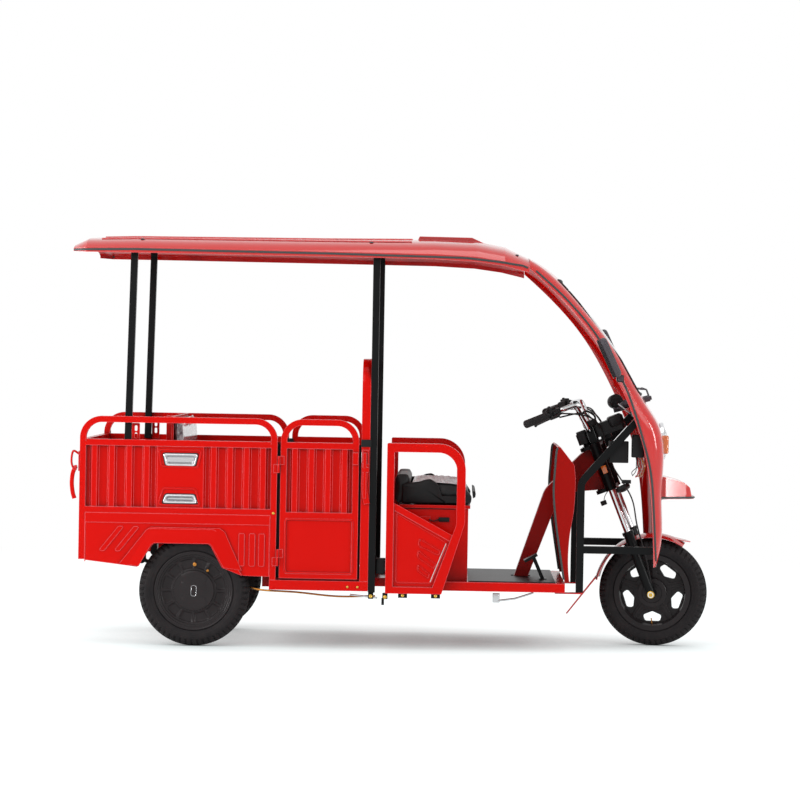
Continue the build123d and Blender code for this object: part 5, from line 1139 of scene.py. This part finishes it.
def guard_line():
    """White enamel line beside the guard's front tube."""
    return tape(over("guard_right", curve([(224, 0, 451), (192, 0, 370), (160, 0, 289)], 12)[:, [0, 2]]), 3.2, 0.8)


def guard_feet():
    """Bolted tabs and pivot brackets under the guard and beside the post."""
    tabs = [slab((x, -448, 230), (38, 5, 20), 3, 1, z_axis=(0, 0, 1)) for x in (46, 184)]
    brackets = [slab((x, -440, 226), (22, 16, 26), 4, 2) for x in (-88, -28)]
    lever = slab((-37, -444, 203), (11, 5, 30), 3, 1)
    return join(*tabs, *brackets, lever)


def guard_foot_bolts():
    return join(bolt_row([(46, -451, 230), (184, -451, 230)], OUT, 8),
                bolt_row([(-88, -448, 224), (-28, -448, 222)], OUT, 9))


def floor_rods():
    """Brake rod and cables that run under the floor; both ends are fixed."""
    rod = bar([(-176, -430, 228), (-60, -430, 217)], 4, 10)
    linkage = slab((440, -300, 216), (30, 6, 40), 4, 2)
    pull = bar([(448, -300, 204), (520, -300, 214), (598, -298, 240)], 4, 10)
    return join(rod, linkage, pull)


def floor_cables():
    return bar(curve([(-640, -360, 262), (-560, -400, 240), (-400, -405, 232), (-230, -405, 218),
                      (-70, -400, 222)], 60), 4, 8)


def post_box():
    """Relay box behind the front post."""
    return slab((-50, -400, 350), (40, 46, 64), 5, 3)


# ================================================================ steering and cockpit
def bar_run(side):
    """The right or left end of the bar and the direction along it, in the turned steering."""
    end, bend = fork((-210, side * 345, 880), (-50, side * 215, 880))
    return end, unit(bend - end)


def ribbed_grip(side):
    """A grip with a flange at its inner end: radius = 16.4 + 1.1 cos(2 pi along / 7)."""
    end, direction = bar_run(side)
    along = np.linspace(6, 100, 95)
    radius = 16.4 + 1.1 * np.cos(2 * np.pi * along / 7)
    profile = np.concatenate([[(0, -4), (12, -4), (16, -1), (17.4, 4)], np.stack([radius, along], 1),
                              [(17, 104), (21, 106), (21, 111), (16, 113), (11.4, 113)]])
    return spun(profile, end, direction, 32)


def switch_gear():
    """Clamps, levers' brackets and buttons on the switch housings."""
    shapes = []
    for side in (-1, 1):
        end, direction = bar_run(side)
        up = unit(np.cross(np.cross(direction, (0, 0, 1)), direction))
        ahead = unit(np.cross(up, direction))
        ahead = ahead if ahead[0] > 0 else -ahead
        start = end + direction * 121
        shapes.append(slab(start + direction * 20 + up * 22, (34, 30, 14), 6, 3, x_axis=direction, z_axis=up))
        shapes.append(slab(start + direction * 24 + ahead * 24, (28, 26, 22), 5, 3, x_axis=direction,
                           z_axis=ahead))
        shapes.append(spun([(0, 0), (6, 0), (6, 6), (4.5, 8), (0, 8)], start + direction * 12 + up * 28, up, 16))
        shapes.append(slab(start + direction * 52, (16, 30, 30), 6, 3, x_axis=direction, z_axis=up))
        pivot = start + direction * 44 + ahead * 26
        tip = end + direction * 8 + ahead * 62 - up * 6
        path = curve([pivot, pivot * 0.75 + tip * 0.25 + ahead * 18, pivot * 0.4 + tip * 0.6 + ahead * 10, tip],
                     30)
        shapes.append(sweep(path, rounded_rectangle(5.5, 3, 2.5), up))
        shapes.append(spun([(0, -7), (5, -5), (7, 0), (5, 5), (0, 7)], tip, up, 14))
    return join(*shapes)


def cockpit_boxes():
    """Clamp cover over the risers, instrument hood and ignition lock."""
    cover = slab(fork((4, 0, 775)), (62, 92, 30), 14, 8, x_axis=FORK_AHEAD, z_axis=FORK_UP)
    hood = slab(fork((112, 0, 752)), (66, 112, 46), 16, 10, x_axis=FORK_AHEAD, z_axis=FORK_UP)
    lock = slab(fork((-46, 0, 752)), (44, 60, 16), 8, 4, x_axis=FORK_AHEAD, z_axis=FORK_UP)
    return join(cover, hood, lock)


def cockpit_cables():
    """Control cables from the housings down to the head, and the loom behind the instrument."""
    routes = []
    for side, spread in ((-1, 0), (1, 0), (-1, 14), (1, 10)):
        start = fork((-70 - spread, side * (218 - spread), 868 - spread))
        routes.append(curve([start, fork((-10 + spread, side * 175, 838)), fork((30, side * 96, 800)),
                             fork((48, side * 52, 748 - spread)), fork((44, side * 40, 690))], 46))
    loop = curve([fork((-8, -48, 775)), fork((-24, -20, 818)), fork((6, 12, 832)), fork((30, 34, 798)),
                  fork((16, 44, 765))], 40)
    return join(*[bar(route, 3.4, 8) for route in routes], bar(loop, 4.5, 8))


def fork_reflector():
    """Amber reflector on the fork shroud."""
    return slab(fork((6, -112, 574)), (22, 5, 34), 3, 1.2, x_axis=FORK_AHEAD, z_axis=FORK_UP)


def horn_and_box():
    """Electrical box on the subframe, the horn under it, and the flasher box behind the nose."""
    box = slab((948, -268, 842), (84, 46, 92), 6, 3)
    behind = slab((1030, -262, 868), (52, 60, 96), 8, 3)
    horn = join(spun([(0, 0), (30, 0), (33, 5), (30, 14), (14, 20), (0, 20)], (968, -250, 694),
                     (0.4, -0.3, -0.85), 36), slab((984, -262, 716), (40, 6, 16), 3, 1))
    return join(box, behind, horn)


def nose_wires():
    """Coloured wires that hang from the flasher box; both ends are fixed."""
    rng = np.random.default_rng(4)
    groups = []
    for number in range(4):
        wires = []
        for _ in range(3):
            a = np.array((1022 + 8 * number, -262, 822.0)) + rng.uniform(-6, 6, 3)
            b = a + (rng.uniform(-4, 22), rng.uniform(-8, 8), -34)
            c = a + (rng.uniform(-14, 14), rng.uniform(-8, 8), -66)
            d = a + (rng.uniform(-20, 6), rng.uniform(-6, 10), -84)
            wires.append(bar(curve([a, b, c, d], 24), 1.7, 6))
        groups.append(join(*wires))
    return groups


def brake_hose():
    """Speedometer cable and hose from the head down to the front axle."""
    return join(bar(curve([fork((40, -60, 560)), fork((70, -100, 420)), fork((52, -112, 300)),
                           fork((36, -104, 150)), fork((16, -92, 40))], 60), 3.2, 8),
                bar(curve([fork((-20, -20, 480)), fork((-40, -34, 465)), fork((-52, -38, 448))], 20), 1.6, 6),
                slab(fork((-58, -38, 436)), (26, 14, 20), 3, 1.5, x_axis=FORK_AHEAD, z_axis=FORK_UP))


def fork_hardware():
    """The front axle's nut on each side."""
    nut = hex_bolt(fork((0, -104, 0)), fork((0, -105, 0)) - fork((0, -104, 0)), 20)
    far_nut = hex_bolt(fork((0, 104, 0)), fork((0, 105, 0)) - fork((0, 104, 0)), 20)
    return join(nut, far_nut)


def mirror_pieces():
    """Mirror glasses on the housings' rear faces, a dark rim round each, and the stalks' joints."""
    glasses, rims = [], []
    lean = np.radians(25)
    across, back = np.array((0, 1.0, 0)), np.array((-np.cos(lean), 0, -np.sin(lean)))
    for x, z, side in ((890, 1241, -1), (946, 1286, 1)):
        centre = np.array((x, side * 560.0, z)) + back * 17.2
        glasses.append(slab(centre, (92, 156, 2.4), 22, 0.8, x_axis=across, z_axis=back))
        flat = rounded_rectangle(52, 84, 26, 7)
        path = centre + flat[:, :1] * across + flat[:, 1:] * np.cross(back, across)
        rims.append(bead(path, 7, 4, back, closed=True))
        foot = np.array((x + 45.0, side * 552.0, z - 86.0))
        rims.append(slab(foot, (30, 34, 30), 8, 5))
    return join(*glasses), join(*rims)


def wiper_parts():
    """Wiper motor cover behind the wall, with its plate."""
    motor = spun([(0, -26), (24, -26), (30, -20), (31, 16), (26, 24), (0, 24)], (944, -2, 1052),
                 (0.2, -0.9, 0.1), 36)
    plate = slab((982, -20, 1022), (70, 6, 44), 6, 2, x_axis=(0.8, 0, -0.6), z_axis=(0, -1, 0))
    return motor, plate


# ================================================================ settings
class TricycleFinishes(bpy.types.PropertyGroup):
    """Colours that a user may change before the pieces are made."""
    red: bpy.props.FloatVectorProperty(name="Red enamel", description="Colour of the painted steel body",
                                       subtype="COLOR", size=3, min=0, max=1, default=colour("#E00C03")[:3])
    shell_red: bpy.props.FloatVectorProperty(name="Red shell",
                                             description="Colour of the moulded canopy and front",
                                             subtype="COLOR", size=3, min=0, max=1,
                                             default=colour("#DE0A04")[:3])


class TricycleSizes(bpy.types.PropertyGroup):
    """Sizes of the details."""
    tread_depth: bpy.props.FloatProperty(name="Tread depth", description="How deep the tyre's grooves are",
                                         unit="LENGTH", min=0.001, max=0.009, default=0.005)
    tread_pitches: bpy.props.IntProperty(name="Tread pitches",
                                         description="How often the tread repeats round a tyre", min=24, max=80,
                                         default=56)


class TricycleStage(bpy.types.PropertyGroup):
    """The light and the camera."""
    light: bpy.props.FloatProperty(name="Light", description="Strength of the soft light from around", min=0.1,
                                   max=3, default=0.3)
    lens: bpy.props.FloatProperty(name="Lens", description="The camera's focal length in millimetres", min=20,
                                  max=400, default=139.275)


class FinishesOperator(bpy.types.Operator):
    """Makes the finishes and gives each CAD node its own"""
    bl_idname = "tricycle.finishes"
    bl_label = "Finishes"

    def execute(self, context):
        make_materials(context.scene.tricycle_finishes)
        paint_nodes()
        return {"FINISHED"}


class WheelsOperator(bpy.types.Operator):
    """Tyres with their tread, the dished rear rims and the front wheel's star"""
    bl_idname = "tricycle.wheels"
    bl_label = "Wheels"

    def execute(self, context):
        sizes = context.scene.tricycle_sizes
        tyre = tyre_shape(sizes)
        right = placed(tyre, REAR_WHEEL)
        piece("rear_tread_right", right, "tyre", "rear_wheel_right", angle=50, replaces=["rear_tyre_right"])
        piece("rear_tread_left", mirrored(right), "tyre", "rear_wheel_left", angle=50, replaces=["rear_tyre_left"])
        piece("front_tread", wheeled(tyre), "tyre", "front_wheel", angle=50, replaces=["front_tyre"])
        rim = placed(rear_rim_shape(), REAR_WHEEL)
        piece("rear_wheel_disc_right", rim, "black_rim", "rear_wheel_right", angle=30, replaces=["rear_rim_right"])
        piece("rear_wheel_disc_left", mirrored(rim), "black_rim", "rear_wheel_left", angle=30,
              replaces=["rear_rim_left"])
        badge, valve = placed(rear_hub_badge(), REAR_WHEEL), placed(rear_valve(), REAR_WHEEL)
        for side, shape, brass in (("right", badge, valve), ("left", mirrored(badge), mirrored(valve))):
            piece("rear_hub_badge_" + side, shape, "steel", "rear_wheel_" + side)
            piece("rear_valve_" + side, brass, "copper", "rear_wheel_" + side)
        stem = bar([(0, -20, -136), (-3, -24, -112)], 2.6, 10)
        piece("front_valve", wheeled(stem), "copper", "front_wheel")
        piece("front_wheel_star", wheeled(front_rim_relief()), "black_rim", "front_wheel", angle=35)
        return {"FINISHED"}


class PadsOperator(bpy.types.Operator):
    """The driver's seat and the wrapped bench pads, swollen as stuffed pieces are"""
    bl_idname = "tricycle.pads"
    bl_label = "Pads"

    def execute(self, context):
        pad("driver_seat_pad", "driver_cushion", "leatherette", 9, 9, 7)
        pad("driver_back_roll", "driver_roll", "leatherette", 9, 9, 6)
        pad("bench_back_pad", "bench_back", "film", 10, 14, 8)
        pad("bench_seat_pad", "bench_cushion", "film", 11, 14, 9)
        return {"FINISHED"}


class BodySideOperator(bpy.types.Operator):
    """Pressed borders, seams, bowls' rims, the arches' turned lips, painted shade behind the door's gaps and bolts
    of the body's sides
    """
    bl_idname = "tricycle.body_side"
    bl_label = "Body sides"

    def execute(self, context):
        piece("bowl_bright_rims", both(bowl_rims()), "chrome")
        # Partly painted shade: the black bead along each bowl's upper lip stands for the shaded slot behind it.
        piece("bowl_gaskets_and_slot_shade", both(bowl_gaskets_and_slot_shade()), "black_rubber")
        piece("pressed_borders", both(panel_borders()), "red_enamel")
        piece("arch_lips", both(arch_flare()), "red_enamel", angle=25)
        piece("folded_seams", both(join(body_seams(), hoop_welds())), "red_enamel")
        # Painted shade: black strips behind the door's gaps.
        piece("door_gap_shade_strips", both(gap_shade_strips()), "black_rubber")
        piece("body_bolts", both(body_bolts()), "zinc")
        piece("door_border_right", door_border(), "red_enamel", "side_door_right")
        piece("door_border_left", mirrored(door_border()), "red_enamel", "side_door_left")
        return {"FINISHED"}


class LatchesOperator(bpy.types.Operator):
    """The doors' catches on their posts and the tailgate's hooks"""
    bl_idname = "tricycle.latches"
    bl_label = "Latches"

    def execute(self, context):
        piece("door_strikes", both(hoop_latches()), "steel")
        piece("door_catches", both(latch_red()), "red_enamel")
        # Partly painted shade: the black plate in each catch's slot.
        piece("door_straps_and_slot_shade", both(latch_black()), "black_abs")
        piece("tailgate_hooks", both(gate_hook()), "red_enamel")
        return {"FINISHED"}


class CanopyOperator(bpy.types.Operator):
    """Edging, ribs and capped bolts of the canopy, and the edging and gasket of the front shell"""
    bl_idname = "tricycle.canopy"
    bl_label = "Canopy and front"

    def execute(self, context):
        piece("canopy_edging", both(roof_edging()), "grey_edging")
        piece("canopy_ribs", roof_ribs(), "red_abs")
        piece("canopy_bolts", roof_bolts(), "grey_abs")
        piece("windscreen_gasket", screen_gasket(), "black_rubber")
        piece("pillar_edging", both(pillar_edging()), "grey_edging")
        piece("visor_edging", visor_edging(), "grey_edging")
        piece("leg_shield_edging", both(shield_edging()), "grey_edging")
        return {"FINISHED"}


class LampsOperator(bpy.types.Operator):
    """The headlamp's lens, bowl, bulb and bezel"""
    bl_idname = "tricycle.lamps"
    bl_label = "Lamps"

    def execute(self, context):
        lens_shape, bowl, bulb, bezel = lamp_pieces()
        piece("headlamp_lens", lens_shape, "clear_lens", replaces=["headlamp"])
        piece("headlamp_bowl", bowl, "reflector")
        piece("headlamp_bulb", bulb, "steel")
        piece("headlamp_bezel", bezel, "chrome")
        return {"FINISHED"}


class MirrorsOperator(bpy.types.Operator):
    """Mirror glasses and their rims, and the wiper's motor"""
    bl_idname = "tricycle.mirrors"
    bl_label = "Mirrors and wiper"

    def execute(self, context):
        glasses, rims = mirror_pieces()
        piece("mirror_glasses", glasses, "mirror")
        piece("mirror_rims", rims, "black_abs")
        motor, plate = wiper_parts()
        piece("wiper_motor", motor, "black_abs")
        piece("wiper_plate", plate, "steel")
        return {"FINISHED"}


class DriverOperator(bpy.types.Operator):
    """Apron, foam wrap, fluted strip and fittings of the driver's seat"""
    bl_idname = "tricycle.driver"
    bl_label = "Driver's seat"

    def execute(self, context):
        piece("seat_apron", both(seat_wing()), "black_abs")
        piece("seat_foam_wrap", seat_foam(), "foam")
        piece("seat_fluted_strip", seat_lip(), "leatherette")
        piece("seat_red_fittings", seat_fittings(), "red_enamel")
        piece("seat_sockets", seat_sockets(), "black_abs")
        return {"FINISHED"}


class GuardOperator(bpy.types.Operator):
    """Pressed slots, line, tabs and bolts of the knee guards"""
    bl_idname = "tricycle.guards"
    bl_label = "Knee guards"

    def execute(self, context):
        piece("guard_pressings", both(guard_details()), "red_enamel")
        piece("guard_lines", both(guard_line()), "white_print")
        piece("guard_tabs", both(guard_feet()), "black_coat")
        piece("guard_bolts", both(guard_foot_bolts()), "zinc")
        piece("relay_box", post_box(), "black_abs")
        return {"FINISHED"}


class HandlebarOperator(bpy.types.Operator):
    """Ribbed grips, switch gear and the covers on the steering head"""
    bl_idname = "tricycle.handlebar"
    bl_label = "Handlebar"

    def execute(self, context):
        piece("ribbed_grips", join(ribbed_grip(-1), ribbed_grip(1)), "black_rubber", "steering",
              replaces=["grips"])
        piece("switch_gear", switch_gear(), "black_abs", "steering")
        piece("head_covers", cockpit_boxes(), "black_abs", "steering")
        piece("fork_reflector", fork_reflector(), "amber_lens", "steering")
        piece("axle_nuts", fork_hardware(), "zinc", "steering")
        return {"FINISHED"}


class CablesOperator(bpy.types.Operator):
    """Control cables, the floor's rods, the electrical boxes and the horn behind the nose"""
    bl_idname = "tricycle.cables"
    bl_label = "Cables and boxes"

    def execute(self, context):
        piece("control_cables", cockpit_cables(), "black_rubber", "steering")
        piece("axle_cables", brake_hose(), "black_rubber", "steering")
        piece("floor_rods", floor_rods(), "steel")
        piece("floor_cable", floor_cables(), "copper")
        piece("electrical_boxes", horn_and_box(), "black_abs")
        for name, shape, finish in zip(("earth", "lamp", "horn", "switch"), nose_wires(),
                                       ("black_rubber", "red_enamel", "white_print", "copper")):
            piece(name + "_wires", shape, finish)
        return {"FINISHED"}


# Each light's name, place, target, size (wide, high) in metres and power in watts.
LIGHTS = (("key", (-3.6, -6.2, 4.0), (-0.2, 0, 0.7), (4.0, 4.0), 140),
          ("fill", (5.5, -5.5, 3.0), (0.3, 0, 0.7), (3.0, 3.0), 50),
          ("top", (0.5, -1.0, 7.5), (0, 0, 0.5), (5.0, 4.0), 120),
          ("left_strip", (-7.0, -3.0, 1.4), (-0.8, 0, 0.7), (0.5, 3.4), 220),
          ("right_strip", (7.0, -3.2, 1.4), (0.5, 0, 0.8), (0.5, 3.4), 120))
FLOOR_CORNERS = ((-30, -14.5, 0), (30, -14.5, 0), (30, 30, 0), (-30, 30, 0))
CAMERA_PLACE, CAMERA_AHEAD, CAMERA_LEVEL = (0.248, -13.4, 1.241), (-0.01751, 1.0, -0.01485), (1.0, 0.0, 0.01745)


def soft_light(name, place, target, size, power):
    """A rectangular area light, size (wide, high), that looks from place to target."""
    data = bpy.data.lights.new(name, "AREA")
    data.shape, data.energy = "RECTANGLE", power
    data.size, data.size_y = size
    made = put(name, data)
    made.location = place
    made.rotation_euler = (Vector(target) - Vector(place)).to_track_quat("-Z", "Y").to_euler()


def camera_ray_mix(tree, seen, lit, output_socket):
    """Shows one shader to the camera, mirrors and glass, and another to everything else."""
    path = add_node(tree, "ShaderNodeLightPath")
    glossy = add_node(tree, "ShaderNodeMath", {0: path.outputs["Is Camera Ray"], 1: path.outputs["Is Glossy Ray"]},
                      operation="MAXIMUM")
    either = add_node(tree, "ShaderNodeMath", {0: glossy.outputs[0], 1: path.outputs["Is Transmission Ray"]},
                      operation="MAXIMUM")
    mix = add_node(tree, "ShaderNodeMixShader", {0: either.outputs[0], 1: lit, 2: seen})
    tree.links.new(mix.outputs[0], output_socket)


class StageOperator(bpy.types.Operator):
    """The white floor, the soft light and the camera"""
    bl_idname = "tricycle.stage"
    bl_label = "Stage"

    def execute(self, context):
        settings = context.scene.tricycle_stage
        world = bpy.data.worlds.new("pale_room")
        bpy.context.scene.world = world
        world.use_nodes = True
        tree = world.node_tree
        tree.nodes.clear()
        output = add_node(tree, "ShaderNodeOutputWorld")
        seen = add_node(tree, "ShaderNodeBackground", {"Color": colour("#FFFFFF"), "Strength": 1.0})
        lit = add_node(tree, "ShaderNodeBackground", {"Color": colour("#FFFFFF"), "Strength": settings.light})
        camera_ray_mix(tree, seen.outputs[0], lit.outputs[0], output.inputs["Surface"])
        for light in LIGHTS:
            soft_light(*light)

        mesh = bpy.data.meshes.new("floor")
        mesh.from_pydata(FLOOR_CORNERS, [], [(0, 1, 2, 3)])
        floor = put("floor", mesh)
        material, tree, shader = new_material("white_floor")
        set_shader(shader, Base_Color=colour("#FFFFFF"), Roughness=0.9, Specular_IOR_Level=0.0)
        # The camera sees a white floor that darkens where the object shuts off the sky and the light;
        # further than 6 m from the object it is plain white.
        open_sky = add_node(tree, "ShaderNodeAmbientOcclusion", {"Distance": 0.5}, samples=12)
        contact = add_node(tree, "ShaderNodeMath", {0: open_sky.outputs["AO"], 1: 0.9}, operation="POWER")
        shade = add_node(tree, "ShaderNodeMath", {0: contact.outputs[0], 1: 0.95}, operation="MULTIPLY")
        glow = add_node(tree, "ShaderNodeEmission", {"Color": colour("#FFFFFF"), "Strength": shade.outputs[0]})
        # Painted colour against light: the second diffuse is tinted cyan-grey so that the red light thrown down by
        # the body leaves a grey shadow.
        second = add_node(tree, "ShaderNodeBsdfDiffuse", {"Color": colour("#8AA0A0")})
        near = add_node(tree, "ShaderNodeAddShader", {0: second.outputs[0], 1: glow.outputs[0]})
        white = add_node(tree, "ShaderNodeEmission", {"Color": colour("#FFFFFF"), "Strength": 1.0})
        away = add_node(tree, "ShaderNodeVectorMath",
                        {0: add_node(tree, "ShaderNodeTexCoord").outputs["Object"]}, operation="LENGTH")
        far = add_node(tree, "ShaderNodeMapRange",
                       {"Value": away.outputs["Value"], "From Min": 3.0, "From Max": 6.0})
        seen = add_node(tree, "ShaderNodeMixShader",
                        {0: far.outputs["Result"], 1: near.outputs[0], 2: white.outputs[0]})
        output = next(node for node in tree.nodes if node.type == "OUTPUT_MATERIAL")
        camera_ray_mix(tree, seen.outputs[0], shader.outputs[0], output.inputs["Surface"])
        mesh.materials.append(material)

        data = bpy.data.cameras.new("camera")
        data.lens, data.sensor_width = settings.lens, 36.0
        camera = put("camera", data)
        ahead, level = Vector(CAMERA_AHEAD).normalized(), Vector(CAMERA_LEVEL)
        right = (level - level.dot(ahead) * ahead).normalized()
        up = right.cross(ahead)
        turn = Matrix((right, up, -ahead)).transposed()
        camera.matrix_world = Matrix.Translation(CAMERA_PLACE) @ turn.to_4x4()
        bpy.context.scene.camera = camera
        bpy.context.scene.view_settings.view_transform = "Standard"
        return {"FINISHED"}


class TricyclePanel(bpy.types.Panel):
    """Lists the settings and the operators"""
    bl_idname = "VIEW3D_PT_tricycle"
    bl_label = "Three-wheeled motorcycle"
    bl_space_type = "VIEW_3D"
    bl_region_type = "UI"
    bl_category = "Tricycle"

    def draw(self, context):
        for group in ("tricycle_finishes", "tricycle_sizes", "tricycle_stage"):
            settings = getattr(context.scene, group)
            box = self.layout.box()
            for name in settings.__annotations__:
                box.prop(settings, name)
        for operator in OPERATORS:
            self.layout.operator(operator.bl_idname)


GROUPS = {"tricycle_finishes": TricycleFinishes, "tricycle_sizes": TricycleSizes, "tricycle_stage": TricycleStage}
OPERATORS = (FinishesOperator, WheelsOperator, PadsOperator, BodySideOperator, LatchesOperator, CanopyOperator,
             LampsOperator, MirrorsOperator, DriverOperator, GuardOperator, HandlebarOperator, CablesOperator,
             StageOperator)


def register():
    for kind in (*GROUPS.values(), *OPERATORS, TricyclePanel):
        bpy.utils.register_class(kind)
    for name, kind in GROUPS.items():
        setattr(bpy.types.Scene, name, bpy.props.PointerProperty(type=kind))


def unregister():
    for name in GROUPS:
        delattr(bpy.types.Scene, name)
    for kind in (TricyclePanel, *OPERATORS[::-1], *GROUPS.values()):
        bpy.utils.unregister_class(kind)


def main():
    register()
    for operator in OPERATORS:
        group, name = operator.bl_idname.split(".")
        getattr(getattr(bpy.ops, group), name)()


if __name__ == "__main__":
    main()
